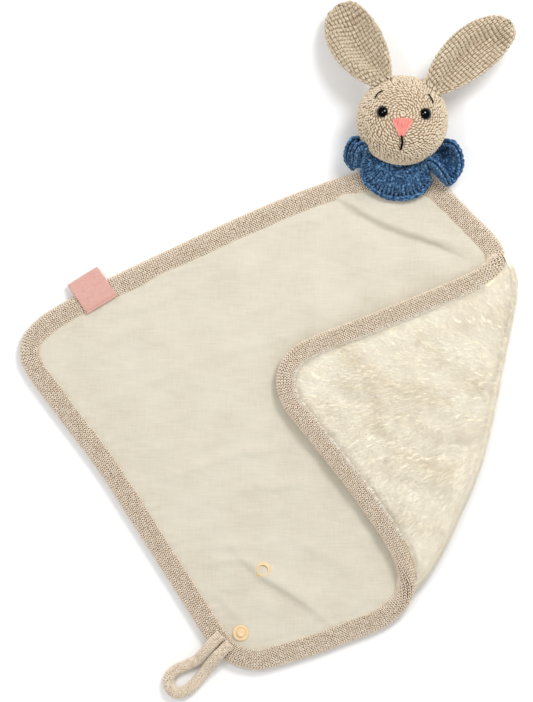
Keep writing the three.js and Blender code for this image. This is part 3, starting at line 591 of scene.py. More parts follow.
# Creases of the muslin: lines with their height, width and how much steeper the far side is
creases = [
    ([(334, 188), (352, 203), (374, 217), (400, 228), (432, 238), (466, 248)], 3.4, 6.0, 1.6),
    ([(346, 205), (366, 222), (394, 236), (430, 246), (462, 253)], -1.6, 6.0, 1.0),
    ([(372, 206), (405, 213), (440, 221), (462, 233)], 1.3, 6.0, 1.0),
    ([(236, 552), (262, 575), (286, 590), (310, 606), (328, 622)], 1.8, 5.0, 1.8),
    ([(250, 574), (272, 592), (300, 612)], -0.9, 5.0, 1.0),
    ([(276, 577), (296, 588), (316, 598), (340, 604)], 0.9, 4.5, 1.0),
    ([(120, 392), (170, 372), (226, 352), (284, 340)], 0.55, 4.0, 1.0),
    ([(78, 366), (96, 350), (120, 334), (150, 322)], 0.8, 5.0, 1.0),
    ([(168, 478), (214, 461), (250, 452), (292, 449)], 0.7, 4.0, 1.4),
    ([(206, 500), (254, 487), (300, 484), (330, 490)], 0.5, 4.0, 1.0),
    ([(180, 549), (226, 545), (262, 548)], 0.6, 3.5, 1.0),
    ([(196, 566), (224, 560), (250, 562), (276, 572)], 0.6, 3.0, 1.0),
    ([(206, 590), (222, 600), (236, 614), (246, 624)], 0.7, 3.0, 1.0),
    ([(226, 588), (246, 590), (262, 600)], 0.5, 3.0, 1.0),
    ([(190, 286), (212, 278), (240, 262)], 0.6, 3.0, 1.0),
    ([(118, 312), (150, 306), (182, 290)], 0.5, 3.0, 1.0),
    ([(210, 330), (250, 312), (300, 296)], 0.4, 4.0, 1.0),
    ([(282, 536), (312, 548), (342, 566), (366, 592)], 0.6, 4.5, 1.0),
]
main_seam = np.concatenate([flat_part[::6], flat_part[-1:]])
MUSLIN_TOP, MUSLIN_UNDER_FLAP = 6.6, 8.0
CREASE_HEIGHT, CREASE_FADE = 1.25, 22


def muslin_height(x, y):
    height = np.zeros(x.shape)
    for points, rise, width, side in creases:
        line = line_on(points)
        d = far_from(line, x, y)
        along = line[-1] - line[0]
        mid = line[len(line) // 2]
        across = (x - mid[0]) * -along[1] + (y - mid[1]) * along[0]
        d = np.where(across < 0, d * side, d)
        fade = 0.35 + 0.65 * ease(far_from_ends(line, x, y) / CREASE_FADE)
        height += CREASE_HEIGHT * rise * bump(d, width) * fade
    height += 0.5 * smooth_noise(x, y, 46, 3) + 0.16 * smooth_noise(x, y, 14, 5)
    # small puckers next to the seam
    return height + 0.28 * bump(far_from(main_seam, x, y) - 10, 5) * smooth_noise(x, y, 8, 9, 1)


x, y, quads = cells(main_outline, 1.3)
z = MUSLIN_TOP + np.clip(muslin_height(x, y), -0.9, 4.5)
z = z - 0.9 * ease(1 - (far_from(main_seam, x, y) - 4) / 5)
z = np.where(inside_of(flap_outline, x, y), np.minimum(z, MUSLIN_UNDER_FLAP), z)
muslin = make_mesh("muslin_blanket", np.stack([x, y, z], -1), [quads], muslin_look)
tab_blend(muslin)
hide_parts("muslin_main", "muslin_tab")

# The border's own line over the fold, which the corner's cloth must stay under
turning = border.table[(border.s >= s_high_flat - 10) & (border.s <= s_low_flat + 10), :3]
turning_tree = KDTree(len(turning))
for k, point in enumerate(turning):
    turning_tree.insert((point[0], point[1], 0), k)
turning_tree.balance()


def beside_border(x, y):
    """The height of the border's middle near each point, and the distance from it."""
    found = [turning_tree.find((a, b, 0)) for a, b in zip(x, y)]
    near = np.array([index for _, index, _ in found], int)
    return turning[near, 2], np.array([distance for _, _, distance in found])


def under_turning(x, y, z, room):
    middle, beside = beside_border(x, y)
    return np.minimum(z, middle + room + 0.9 * np.maximum(0, beside - 4.5))


# The muslin inside the fold and under the folded corner
MUSLIN_REACH = 11.2
x, y, quads = cells(flap_outline, 1.6)
out = far_from(roll_edge, x, y) - (ROLL_INSET - MUSLIN_REACH)
curl = np.clip(out / MUSLIN_REACH, 0, 1)
z = under_turning(x, y, FOLD_HEIGHT + 2.4 * np.sqrt(1 - (1 - curl) ** 2), -1.5)
flap_under = (np.stack([x, y, z + 0.1 * smooth_noise(x, y, 20, 4)], -1), [quads[(out > 0)[quads].all(1)]])
strip = roll_strip(np.linspace(-90, 55, 20), MUSLIN_REACH, 2.1)[:, 4:-5]
fold_muslin = make_mesh("muslin_corner", *joined([flap_under, (strip, [grid(strip)])]), muslin_look)
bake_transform(fold_muslin)
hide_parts("muslin_flap", "muslin_fold")

# The plush: its underside, and the folded corner with the soft roll at the fold
x, y, quads = cells(main_outline, 1.5)
z = 0.9 + 0.35 * smooth_noise(x, y, 7, 21) + 0.3 * smooth_noise(x, y, 3.2, 22, 1)
edge = far_from(main_seam, x, y)
z = np.maximum(0.2, z + 1.4 * ease(1 - (edge - 5) / 4))
under_verts = np.stack([x, y, z], -1)
under = make_mesh("plush_under", under_verts, [quads[:, ::-1]], fleece_look)
on_tab = ((under_verts - TAB_MIDDLE) @ TAB_DIRECTION > 6) & (edge > 6.5)
tab_roots = (under_verts, quads[on_tab[quads].all(1)])
tab_blend(under)
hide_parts("plush_main", "plush_tab")

# Waves of the plush on the folded corner, as lines with height and width
waves = [
    ([(352, 378), (392, 380), (432, 402), (462, 424)], 1.6, 11.0),
    ([(404, 356), (430, 350), (462, 362), (488, 380)], 1.5, 10.0),
    ([(372, 436), (402, 446), (436, 456), (470, 448)], -1.3, 8.0),
    ([(344, 402), (382, 412), (420, 432), (452, 446)], -1.0, 7.0),
    ([(382, 408), (412, 424), (440, 436)], 1.0, 7.0),
    ([(396, 470), (420, 478), (448, 486)], 1.0, 8.0),
    ([(452, 302), (476, 318), (498, 330)], 0.9, 9.0),
    ([(440, 330), (462, 336), (492, 352)], -0.9, 7.0),
]
# Hollows between the waves, where strands of a darker tone stand in for the shade there as painted shade,
# with their share of darker strands
hollows = [
    ([(340, 343), (366, 370), (405, 387), (450, 401)], 0.75, 6.0),
    ([(424, 341), (448, 364), (480, 388)], 0.55, 6.0),
    ([(374, 420), (402, 449), (425, 462), (450, 474)], 0.75, 6.5),
    ([(466, 327), (484, 320), (503, 316)], 0.5, 5.0),
    ([(350, 385), (380, 400), (412, 412)], 0.45, 6.0),
    ([(390, 512), (416, 524), (440, 528)], 0.5, 6.0),
    ([(300, 352), (322, 344), (352, 334)], 0.35, 6.0),
]


def ridges(lines, x, y):
    """The sum of soft ridges along lines, each with its height and width."""
    return sum(height * bump(far_from(line_on(points), x, y), width) for points, height, width in lines)


def plush_height(x, y):
    """Height of the plush on the folded corner: high inside, rolling down to the fold's edge."""
    out = far_from(roll_edge, x, y)
    t = np.clip(out / 19.0, 0, 1)
    inner = ease(out / 14)
    height = FOLD_HEIGHT + 8.0 * np.sqrt(1 - (1 - t) ** 2) + 2.2 * inner * ridges(waves, x, y)
    height += inner * (0.5 * smooth_noise(x, y, 40, 31, 1) + 0.1 * smooth_noise(x, y, 14, 32, 1))
    height -= 2.0 * ease(1 - (far_from(flap_part, x, y) - 5) / 6) * inner
    return under_turning(x, y, np.maximum(height, FOLD_HEIGHT + 4.8 * inner), 1.2)


# The corner's pieces have their transform baked in
def corner_blend(piece):
    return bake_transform(piece)


x, y, quads = cells(flap_outline, 1.3)
upper = (np.stack([x, y, plush_height(x, y)], -1), [quads[(far_from(roll_edge, x, y) > 1.0)[quads].all(1)]])
strip = roll_strip(np.linspace(32.4, -90, 22), ROLL_INSET, 8.2)
lower_roll = (strip, [grid(strip)])
plush_corner = make_mesh("plush_corner", *joined([upper, lower_roll]), plush_look)
corner_blend(plush_corner)
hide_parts("plush_flap", "plush_fold")

# The pile: fine strands of fleece, combed along the folded corner and over its border, and
# plain on the tab's underside
PILE_LENGTH, PILE_RADIUS, PILE_DENSITY = 4.2, 0.1, 2.4
PIECE_STRANDS = 7000


def roots_on(verts, quads):
    """Random places on a mesh of quads, with their normals."""
    a, b, c, d = verts.reshape(-1, 3)[quads.T]
    cross = np.cross(c - a, d - b)
    area = 0.5 * np.linalg.norm(cross, axis=1)
    which = np.repeat(np.arange(len(quads)), chance.poisson(area * PILE_DENSITY))
    s, t = chance.random((2, len(which), 1))
    p = (1 - s) * ((1 - t) * a[which] + t * d[which]) + s * ((1 - t) * b[which] + t * c[which])
    return p, unit(cross)[which]


# Places on the photograph and the pile's direction there, in degrees from the right
comb_points = [
    (352, 392, 195), (330, 352, 165), (400, 330, 145), (470, 300, 135), (505, 285, 120), (440, 380, 175),
    (505, 340, 150), (490, 410, 185), (380, 450, 205), (430, 440, 200), (360, 480, 215), (410, 510, 215),
    (450, 520, 230), (475, 470, 215), (425, 570, 240), (455, 525, 240),
]
comb_xy = np.array([mm(px, py) for px, py, _ in comb_points])
comb_angle = np.radians([angle for _, _, angle in comb_points])
comb_way = np.stack([np.cos(comb_angle), np.sin(comb_angle)], -1)


def comb(x, y):
    d = np.hypot(x[:, None] - comb_xy[:, 0], y[:, None] - comb_xy[:, 1])
    way = (1 / (d + 6) ** 3) @ comb_way
    tufts = 0.12 * smooth_noise(x, y, 16, 61) + 0.04 * smooth_noise(x, y, 5, 62, 1)
    return np.arctan2(way[:, 1], way[:, 0]) + tufts + chance.normal(0, 0.07, len(x))


def over_border(lines):
    """Lift the strands that reach the folded corner's border onto its rounded side."""
    x, y = lines[..., 0].ravel(), lines[..., 1].ravel()
    reach = BORDER_HALF_WIDTH + 0.4
    close = np.nonzero(far_from(flap_part[::4], x, y) < reach)[0]
    middle, beside = beside_border(x[close], y[close])
    section = (1 - np.clip(beside / reach, 0, 1) ** BORDER_POWER) ** (1 / BORDER_POWER)
    side = middle + 0.4 + 4.4 * section
    z = lines[..., 2].ravel()
    z[close] = np.maximum(z[close], side)
    return np.dstack([lines[..., :2], z.reshape(lines.shape[:2])])


def pile(name, p, normal, look, stand, blend):
    """Strands that rise from p and lie down along the comb."""
    angle = comb(*p[:, :2].T)
    way = np.stack([np.cos(angle), np.sin(angle), 0 * angle], -1)
    way = unit(way - (way * normal).sum(-1, keepdims=True) * normal)
    side = np.cross(normal, way)
    size = PILE_LENGTH * chance.uniform(0.65, 1.2, len(p))[:, None]
    high = (stand * (0.8 + 0.2 * chance.random(len(p))))[:, None]
    curl = chance.normal(0, 0.04, len(p))[:, None]
    t = np.array([0, 0.3, 0.65, 1.0])
    forward = size * (0.15 * t + 0.85 * t ** 1.2)
    rise = -0.3 + high * (1.35 * t ** 0.6 - 0.75 * t ** 2)
    sway = size * curl * np.sin(2.2 * t)
    lines = p[:, None] + forward[..., None] * way[:, None] + rise[..., None] * normal[:, None]
    lines += sway[..., None] * side[:, None]
    middle, beside = beside_border(*lines[:, -1, :2].T)
    kept = (beside > 5.2) | ((middle > 12.5) & (p[:, 2] > middle - 3))
    lines, normal = over_border(lines[kept]), normal[kept]
    lines[..., 2] = np.maximum(lines[..., 2], 0.3)
    r = PILE_RADIUS * np.array([1.0, 0.95, 0.7, 0.25]) * chance.uniform(0.8, 1.2, len(lines))[:, None]
    ups = np.broadcast_to(normal[:, None], lines.shape)
    count = max(1, math.ceil(len(lines) / PIECE_STRANDS))
    for k, some in enumerate(np.array_split(np.arange(len(lines)), count)):
        piece = make_mesh(f"{name}_{k + 1}", *strand_data(lines[some], r[some], ups[some], 4, 0.65), look)
        blend(piece)


p, normal = roots_on(upper[0], upper[1][0])
middle, beside = beside_border(*p[:, :2].T)
keep = (far_from(flap_part, *p[:, :2].T) > 6.2) & ((middle > 12.5) | (beside > 7.2))
top_p, top_normal = p[keep], normal[keep] * np.sign(normal[keep][:, 2:3])
p, normal = roots_on(strip, lower_roll[1][0])
outward = (normal[:, :2] * FOLD_OUT).sum(1, keepdims=True)
normal = normal * np.where(np.abs(outward) > 0.15, np.sign(outward), np.sign(p[:, 2:3] - FOLD_HEIGHT))
keep = far_from_ends(roll_edge, *p[:, :2].T) > 9
all_p, all_normal = np.concatenate([top_p, p[keep]]), np.concatenate([top_normal, normal[keep]])
stand = 1 + 2.0 * np.clip(1 - all_normal[:, 2], 0, 1)
# strands in the hollows take the darker fur, as painted shade
dark = chance.random(len(all_p)) < ridges(hollows, *all_p[:, :2].T)
for name, some, tone in (("plush_pile", ~dark, fur_look), ("plush_pile_painted_shade", dark, fur_painted_shade_look)):
    pile(name, all_p[some], all_normal[some], tone, stand[some], corner_blend)
p, normal = roots_on(*tab_roots)
pile("plush_pile_tab", p, -normal * np.sign(normal[:, 2:3]), fur_look, 1.0, tab_blend)

# The head, built in its own frame: middle at zero, crown towards +y, face towards +z
HEAD = np.array([55.0, 207.4, 32.0])
HEAD_RADIUS = 32.0
HEAD_TURN = -3.5
HEAD_SQUASH = 0.975
POLE_LEAN = 7.0
NECK_LEAN = 35.0
NECK_REACH = 38.2


def turned(p, angle):
    c, s = math.cos(math.radians(angle)), math.sin(math.radians(angle))
    return np.stack([c * p[..., 0] - s * p[..., 1], s * p[..., 0] + c * p[..., 1], p[..., 2]], -1)


def leaned(p, angle):
    c, s = math.cos(math.radians(angle)), math.sin(math.radians(angle))
    return np.stack([p[..., 0], c * p[..., 1] - s * p[..., 2], s * p[..., 1] + c * p[..., 2]], -1)


def on_head(p):
    return turned(p * np.array([1, HEAD_SQUASH, 1]), HEAD_TURN) + HEAD


def face_xy(px, py):
    p = np.array([*mm(px, py), 0.0]) - HEAD * [1, 1, 0]
    return turned(p, -HEAD_TURN)[:2] / [1, HEAD_SQUASH]


def raised(xy, far):
    """Points of the face over xy, that far from the head's middle."""
    return np.concatenate([xy, np.sqrt(far ** 2 - (xy ** 2).sum(-1))[..., None]], -1)


def outside_ball(p, room):
    """Points pushed out of the head's ball, with room between."""
    far = np.linalg.norm(p, axis=-1, keepdims=True)
    near = HEAD_RADIUS + room
    return np.where(far < near, p * near / np.maximum(far, 1e-6), p)


pole = leaned(np.array([0.0, 0.0, 1.0]), -POLE_LEAN)
pole_right = np.array([1.0, 0.0, 0.0])
pole_up = np.cross(pole, pole_right)
BALL = HEAD_RADIUS - 0.75
ROUND, WIDE = 2.3, 3.7


def ball_skin(u, v):
    """u is the arc from the pole in mm, v the share of the turn about it."""
    theta, phi = u[..., None] / HEAD_RADIUS, 2 * np.pi * v[..., None]
    normal = np.cos(theta) * pole + np.sin(theta) * (np.cos(phi) * pole_right + np.sin(phi) * pole_up)
    return normal * BALL, normal


arcs = (np.arange(int(np.pi * HEAD_RADIUS / ROUND)) + 0.6) * ROUND
girths = 2 * np.pi * HEAD_RADIUS * np.sin(arcs / HEAD_RADIUS)
u, v, wide = rounds(arcs, girths, WIDE, chance.random(len(arcs)))
head_stitches = knit_data(ball_skin, u, v, ROUND, wide, radius=0.76, lift=0.65, lean=0.06, points=5,
                          sink=0.25, loose=0.09, reach=0.6, apart=0.23, slant=0.46)


def neck_point(along, radius, phi):
    return leaned(np.stack([radius * np.cos(phi), -along + 0 * phi, radius * np.sin(phi)], -1), NECK_LEAN)


def neck_radius(along):
    return np.interp(along, [29.2, NECK_REACH], [13.0, 9.0]) - 0.9


def neck_skin(u, v):
    phi = 2 * np.pi * v
    return neck_point(u, neck_radius(u), phi), unit(neck_point(0 * u, 1 + 0 * u, phi))


NECK_COLUMNS = 22
u, v = courses(np.arange(29.6, NECK_REACH - 1, ROUND), NECK_COLUMNS)
neck_stitches = knit_data(neck_skin, u, v, ROUND, 1 / NECK_COLUMNS, radius=0.8, lift=0.3, lean=0.1,
                          sink=0.3, reach=1.02, apart=0.19, slant=0.3)
verts, faces = joined([head_stitches, neck_stitches])
head_knit = make_mesh("head_knit", above_floor(on_head(verts)), faces, yarn_look)

# The stuffed inside: the ball and its neck as one closed skin, dark as painted shade for the gaps between
# the stitches
stuffing = BALL - 0.5
angle = np.linspace(0, np.pi - math.asin(12.0 / stuffing), 60)
neck_places = np.array([32, 34, 36, NECK_REACH - 0.4])
radius = np.concatenate([stuffing * np.sin(angle), neck_radius(neck_places) - 0.4])[:, None]
along = np.concatenate([-stuffing * np.cos(angle), neck_places])[:, None]
rings = neck_point(along, radius, 2 * np.pi * np.arange(72) / 72)
skin_faces, _, neck_end = tube(rings, flip=True)
inside = make_mesh("head_stuffed_painted_shade", above_floor(on_head(rings), 0.4), [skin_faces, neck_end], yarn_core_painted_shade_look)
for part in (head_knit, inside):
    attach(part, "head")
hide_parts("head_shell", "head_stuffing")


# Eyes: a glossy dome on a post that passes through a washer inside the head
def standing(profile, out, sides=56):
    """A turned shape (radius, height) whose axis points along out, closed at both ends."""
    side = unit(np.cross(out, [0, 1.0, 0.2]))
    other = np.cross(out, side)
    phi = 2 * np.pi * np.arange(sides)[:, None] / sides
    radius, height = np.array(profile, float).T[..., None, None]
    p = height * out + radius * (np.cos(phi) * side + np.sin(phi) * other)
    return p, tube(p, flip=True)


EYE_RADIUS, EYE_HEIGHT = 4.3, 3.0
EYE_SEAT = HEAD_RADIUS + 0.1
eye_profile = [(1.5, EYE_SEAT - 8.0), (1.5, EYE_SEAT - 1.4), (EYE_RADIUS * 0.9, EYE_SEAT - 1.1)]
for a in np.linspace(-0.25, np.pi / 2 - 0.02, 20):
    eye_profile.append((EYE_RADIUS * math.cos(a), EYE_SEAT + EYE_HEIGHT * math.sin(a)))
for side, px, py in (("left", 381.8, 112.7), ("right", 425.1, 114.6)):
    p, faces = standing(eye_profile, unit(raised(face_xy(px, py), HEAD_RADIUS)))
    eye = make_mesh("eye_dome_" + side, on_head(p), faces, eye_look)
    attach(eye, "head")
    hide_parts("eye_" + side)
    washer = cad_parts["eye_washer_" + side]
    washer.data.materials.clear()
    washer.data.materials.append(washer_look)

# Mouth and brows: two plies of thread twisted together, that dip into the head at both ends
THREAD_LIFT, THREAD_STEP, THREAD_TWIST = 0.75, 0.35, 1.1


def thread_on_face(name, node, radius, points):
    line, _ = path_of([(*face_xy(*p), 0.0) for p in points], THREAD_STEP)
    line = raised(line[:, :2], HEAD_RADIUS + THREAD_LIFT)
    normal = unit(line)
    t = np.linspace(-1, 1, len(line))
    line = line - normal * 1.6 * np.clip((np.abs(t) - 0.86) / 0.14, 0, 1)[:, None] ** 2
    side = unit(np.cross(unit(np.gradient(line, axis=0)), normal))
    turn = np.linspace(0, len(line) * THREAD_STEP / THREAD_TWIST, len(line))[:, None] * 2 * np.pi
    plies = [line + 0.45 * radius * (np.cos(a) * side + np.sin(a) * normal) for a in (turn, turn + np.pi)]
    r = 0.72 * radius * (1 - 0.25 * np.abs(t) ** 3)
    verts, faces = strand_data(np.stack(plies), np.stack([r] * 2), np.stack([normal] * 2), sides=8)
    thread = make_mesh(name, on_head(verts), faces, thread_look)
    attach(thread, "head")
    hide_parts(node)


mouth_points = [(400.8, 136.2), (401.8, 143.5), (400.9, 147.5), (400.1, 151.2)]
thread_on_face("mouth_thread", "mouth_stitch", 0.85, mouth_points)
thread_on_face("brow_thread_left", "brow_left", 0.5, [(374.4, 98.8), (377.8, 93.8), (382.8, 91.2)])
thread_on_face("brow_thread_right", "brow_right", 0.5, [(427.6, 94.6), (430.8, 98.6), (432.6, 104.0)])

# Nose: satin stitches fanned from the tip, side by side over a rounded triangle
NOSE_STITCHES = 30
tip = face_xy(400.8, 137.6)
nose_points = [
    (398.4, 134.2), (394.3, 126.5), (392.5, 121.6), (394.3, 118.9), (402.2, 118.6), (410, 119.2),
    (411.9, 121.9), (408.6, 128.5), (403.3, 134.4),
]
nose_edge = path_of([(*face_xy(*p), 0.0) for p in nose_points], 0.2)[0][:, :2]
t = np.linspace(0, 1, 14)
rise = 1.25 * np.sin(np.pi * np.clip(t * 0.86 + 0.07, 0, 1)) ** 0.6
lines = []
for edge in nose_edge[np.linspace(0, len(nose_edge) - 1, NOSE_STITCHES).round().astype(int)]:
    start = np.array([tip[0] + 0.16 * (edge[0] - tip[0]), tip[1]])
    far = HEAD_RADIUS - 0.4 + rise + chance.normal(0, 0.05)
    lines.append(raised(start + (edge - start) * t[:, None], far))
lines = np.stack(lines)
fat = 0.42 * (1 - 0.45 * (1 - t) ** 2) + np.zeros(lines.shape[:2])
verts, faces = strand_data(lines, fat, unit(lines), sides=7, flat=0.8)
nose = make_mesh("nose_stitches", on_head(verts), faces, nose_look)
pad = np.concatenate([nose_edge, tip[None]])
middle = pad.mean(0)
rings = []
for share in (1.0, 0.96, 0.8, 0.5, 0.2, 0.02):
    far = HEAD_RADIUS - 0.9 + 1.35 * math.sqrt(1 - share ** 2)
    rings.append(raised(middle + share * 0.97 * (pad - middle), far))
rings = np.stack([rings[0] - unit(rings[0]) * 0.8, *rings])
base = make_mesh("nose_pad", on_head(rings), tube(rings), nose_look)
for part in (nose, base):
    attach(part, "head")
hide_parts("nose")


# A soft closed form, given by a table of points: rows along it, columns round it. Its points
# are spread evenly round each row, from the middle of the front.
class Form:
    def __init__(self, table, columns=160):
        rings = []
        for ring in np.concatenate([table, table[:, :1]], 1):
            far = distances(ring)
            front = np.interp((len(ring) - 1) / 4, np.arange(len(ring)), far)
            at = (np.arange(columns) / columns * far[-1] + front) % far[-1]
            rings.append([far[-1], np.stack([np.interp(at, far, column) for column in ring.T], -1)])
        self.girth = np.array([girth for girth, _ in rings])
        self.table = np.stack([ring for _, ring in rings])
        round_it = np.roll(self.table, -1, 1) - np.roll(self.table, 1, 1)
        self.normals = unit(np.cross(round_it, np.gradient(self.table, axis=0)))
        middle = self.table.mean(1)
        self.along = distances(middle)
        if ((self.table - middle[:, None]) * self.normals).sum(-1).mean() < 0:
            self.normals = -self.normals

    def skin(self, u, v):
        """u is the distance along in mm, v the share round, from the middle of the front."""
        rows, columns = self.table.shape[:2]
        i = np.clip(np.interp(u, self.along, np.arange(rows)), 0, rows - 1.001)
        j = (v % 1.0) * columns % columns
        return between(self.table, i, j), unit(between(self.normals, i, j))


# The ears: each is a flattened crocheted tube, cupped, with one side and the tip rolled over
EAR_BASE, EAR_BEND = 17.0, 3.2
EAR_ROUND, EAR_WIDE = 3.2, 2.95
EAR_ROWS, EAR_COLUMNS = 90, 180
EAR_CLEAR = 0.5
SEWN_SPREAD, SEWN_STITCHES = 13.0, 9


def ear_table(length, width, roll_width, roll_rise, depth, pit):
    """Points of an ear that lies along y: t is the share of its length, a the angle round it."""
    t = (0.5 - 0.5 * np.cos(np.pi * (np.arange(EAR_ROWS) + 0.35) / EAR_ROWS))[:, None]
    a = 2 * np.pi * np.arange(EAR_COLUMNS) / EAR_COLUMNS
    swell = np.sin(np.pi * t ** 1.2) ** 0.4
    half = np.maximum(width * swell, EAR_BASE * (1 - t)) / 2
    c, s = np.cos(a), np.sin(a)
    x = half * np.sign(c) * np.abs(c) ** 0.8
    y = (t - 0.04) * length + 0 * a
    tip_room, left_room, right_room = (1 - t) * length, x + half, half - x
    # how far in from the rolled side and the tip
    side_room, end_room = np.maximum(left_room, 0.5), np.maximum(tip_room * 1.15, 0.5)
    from_roll = np.sqrt(1 / (1 / side_room ** 2 + 1 / end_room ** 2))
    swell_in = ease((t - 0.05) / 0.2)
    roll = 1.1 * roll_rise * swell_in * bump(from_roll - 0.45 * roll_width, 0.42 * roll_width)
    hollow = -depth * swell_in * bump(from_roll - 1.2 * roll_width, 0.34 * roll_width)
    hollow -= pit * swell_in * bump(tip_room - 19, 6) * bump(x - 1.5, 7)
    rim = 1.3 * swell_in * bump(right_room - 2.2, 2.6)
    dish = 6.0 * swell * ((x / np.maximum(half, 1e-3)) ** 2 - 0.35)
    thick = 3.4 * np.minimum(1, 0.35 + swell)
    bottom = dish - thick / 2 - 0.25 * roll + 0.4 * hollow
    top = np.maximum(dish + thick / 2 + roll + hollow + rim, bottom + 0.55 * thick)
    z = bottom + (top - bottom) * (0.5 + 0.5 * np.sign(s) * np.abs(s) ** 0.55)
    # the slit at the root
    slit = -1.8 * bump(x - 0.2 * half, 1.5) * bump(y - 5, 7) * (s > 0)
    return np.stack([x - EAR_BEND * np.sin(0.8 * np.pi * t), y, z + slit], -1)


def ear(side, sewn_at, points_to, slope, shape):
    """An ear sewn on at an angle from the crown, that points along another one."""
    form = Form(ear_table(**shape))

    def placed(p):
        p = turned(leaned(p, slope), points_to - sewn_at) + np.array([0, HEAD_RADIUS - 1.5, 5.0])
        return turned(p, sewn_at - HEAD_TURN)

    count = round((form.along[-1] - 1.0) / EAR_ROUND)
    rows = 1.2 + (form.along[-1] - 1.2) * np.arange(count + 1) / count
    u, v, wide = rounds(rows, np.interp(rows, form.along, form.girth), EAR_WIDE, np.full(len(rows), 0.5))
    verts, faces = knit_data(form.skin, u, v, EAR_ROUND, wide, radius=0.8, lift=0.6, lean=0.02, points=6,
                             sides=6, sink=0.35, loose=0.035, reach=0.94, apart=0.19, thin=0.45)
    # the stitches that sew the root on, from the ball's skin to the ear's
    spread = np.linspace(-SEWN_SPREAD, SEWN_SPREAD, SEWN_STITCHES)[:, None]
    t = np.linspace(0, 1, 7)
    angle = np.radians(sewn_at - HEAD_TURN + spread + chance.normal(0, 1.0, (SEWN_STITCHES, 1)) + 3 * t)
    rho = 30.6 + 2.8 * t + chance.normal(0, 0.4, (SEWN_STITCHES, 1))
    z = 11.6 - 4.9 * t + 0.6 * np.sin(np.pi * t) + 0 * angle
    lines = np.stack([-rho * np.sin(angle), rho * np.cos(angle), z], -1)
    fat = 0.95 * (0.55 + 0.45 * np.sin(np.pi * t)) + 0 * angle
    sewn = strand_data(lines, fat, unit(lines), 6)
    verts, faces = joined([(outside_ball(placed(verts), EAR_CLEAR), faces), sewn])
    # the ears' yarn is darkened as painted shade
    knit = make_mesh("ear_knit_" + side, on_head(verts), faces, ear_painted_shade_look)
    # the ear's dark inside: painted shade in the gaps between its stitches
    inner = outside_ball(placed(form.table - 0.8 * form.normals), EAR_CLEAR)
    inside = make_mesh("ear_inside_" + side, on_head(inner), tube(inner), yarn_core_painted_shade_look)
    for part in (knit, inside):
        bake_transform(part)
    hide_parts("ear_" + side)


ear("left", sewn_at=27.0, points_to=27.0, slope=-24.0,
    shape={"length": 71.0, "width": 37.0, "roll_width": 14.0, "roll_rise": 4.6, "depth": 3.0, "pit": 1.2})
ear("right", sewn_at=-42.0, points_to=-51.0, slope=-11.0,
    shape={"length": 77.0, "width": 34.0, "roll_width": 12.5, "roll_rise": 5.0, "depth": 3.4, "pit": 2.2})

# The collar: a crocheted ruffle from a ring round the neck to its wavy rim, which follows the
# photograph. Each rim point is x and y on the photograph, a height, and an angle on the ring.
RING_PLACE, RING_RADIUS = 29.5, 14.0
RING_MIDDLE = leaned(np.array([0.0, -RING_PLACE, 0.0]), NECK_LEAN)
rim_route = [
    (402.2, 198.6, 9.8, 90), (414.2, 196.3, 10.0, 78), (423.4, 190.8, 10.8, 66), (428.8, 182.8, 12.6, 56),
    (429.6, 174.8, 17, 48), (427.8, 166.8, 25, 42), (427.0, 161.8, 33, 37), (430.8, 161.0, 37, 32),
    (435.6, 164.2, 35, 27), (440.6, 169.8, 30, 22), (445.4, 177.2, 23, 16), (449.0, 184.2, 14.6, 9),
    (454.2, 181.6, 13.4, 2), (459.4, 173.0, 17, -6), (460.8, 163.0, 22, -14), (458.6, 152.0, 27, -22),
    (452.0, 143.6, 31, -30), (445.0, 142.6, 27, -38), (438.0, 142.0, 14, -48), (430.0, 144.0, 8, -60),
    (418.0, 146.0, 4.4, -76), (402.0, 145.0, 3.4, -90), (388.0, 146.0, 4.4, -104), (378.0, 147.0, 8, -118),
    (369.0, 143.0, 14, -132), (361.2, 141.4, 28, -142), (355.5, 139.4, 33, -150), (351.0, 142.6, 32, -157),
    (347.6, 150.0, 27, -164), (346.4, 158.6, 21, -172), (348.0, 165.6, 15.6, -179), (352, 167.2, 16, -186),
    (353.4, 160.0, 27, -193), (354.4, 152.4, 37, -200), (358.2, 146.4, 43, -207), (363.0, 145.0, 44, -213),
    (363.4, 149.6, 38, -219), (362.0, 158.0, 28, -225), (361.6, 171.4, 16, -233), (366.6, 183.6, 12, -242),
    (378.0, 192.8, 10.6, -252), (390.0, 197.6, 9.9, -262), (402.2, 198.6, 9.8, -270),
]
rim, _ = path_of([(*mm(px, py), z, angle) for px, py, z, angle in rim_route], 0.5)
angle = np.radians(rim[:, 3])
ring = RING_RADIUS * np.stack([np.cos(angle), 0 * angle, np.sin(angle)], -1)
inner = on_head(leaned(ring, NECK_LEAN) + RING_MIDDLE)
outer = rim[:, :3]
facing = np.clip(np.sin(angle), 0, 1)[:, None]
low = np.minimum(inner[:, 2], outer[:, 2])[:, None]
control = inner + (0.42 * facing + 0.85 * (1 - facing)) * (outer - inner)
control[:, 2:] = facing * (inner[:, 2:] * 0.86 + outer[:, 2:] * 0.14) + (1 - facing) * low
COLLAR_STEPS, COLLAR_CLEAR = 40, 1.7
BLANKET_TOP, BORDER_TOP, BLANKET_END = 7.0, 8.6, 176
w = np.linspace(0, 1, COLLAR_STEPS)[:, None, None]
sheet = (1 - w) ** 2 * inner + 2 * w * (1 - w) * control + w ** 2 * outer


def collar_clear(p):
    """Out of the head's ball, and above the border, the blanket and the floor."""
    p = outside_ball(p - HEAD, COLLAR_CLEAR) + HEAD
    path = border.table[(border.s < 60) | (border.s > border.length - 90), :2]
    beside = np.min([np.hypot(p[..., 0] - x, p[..., 1] - y) for x, y in path[::2]], axis=0)
    ground = np.where(beside < 8.5, BORDER_TOP, BLANKET_TOP)
    beyond = (p[..., 1] > BLANKET_END) & (beside > 7.5)
    ground = np.where(beyond, 0, ground)
    p[..., 2] = np.maximum(p[..., 2], ground + COLLAR_CLEAR)
    return p


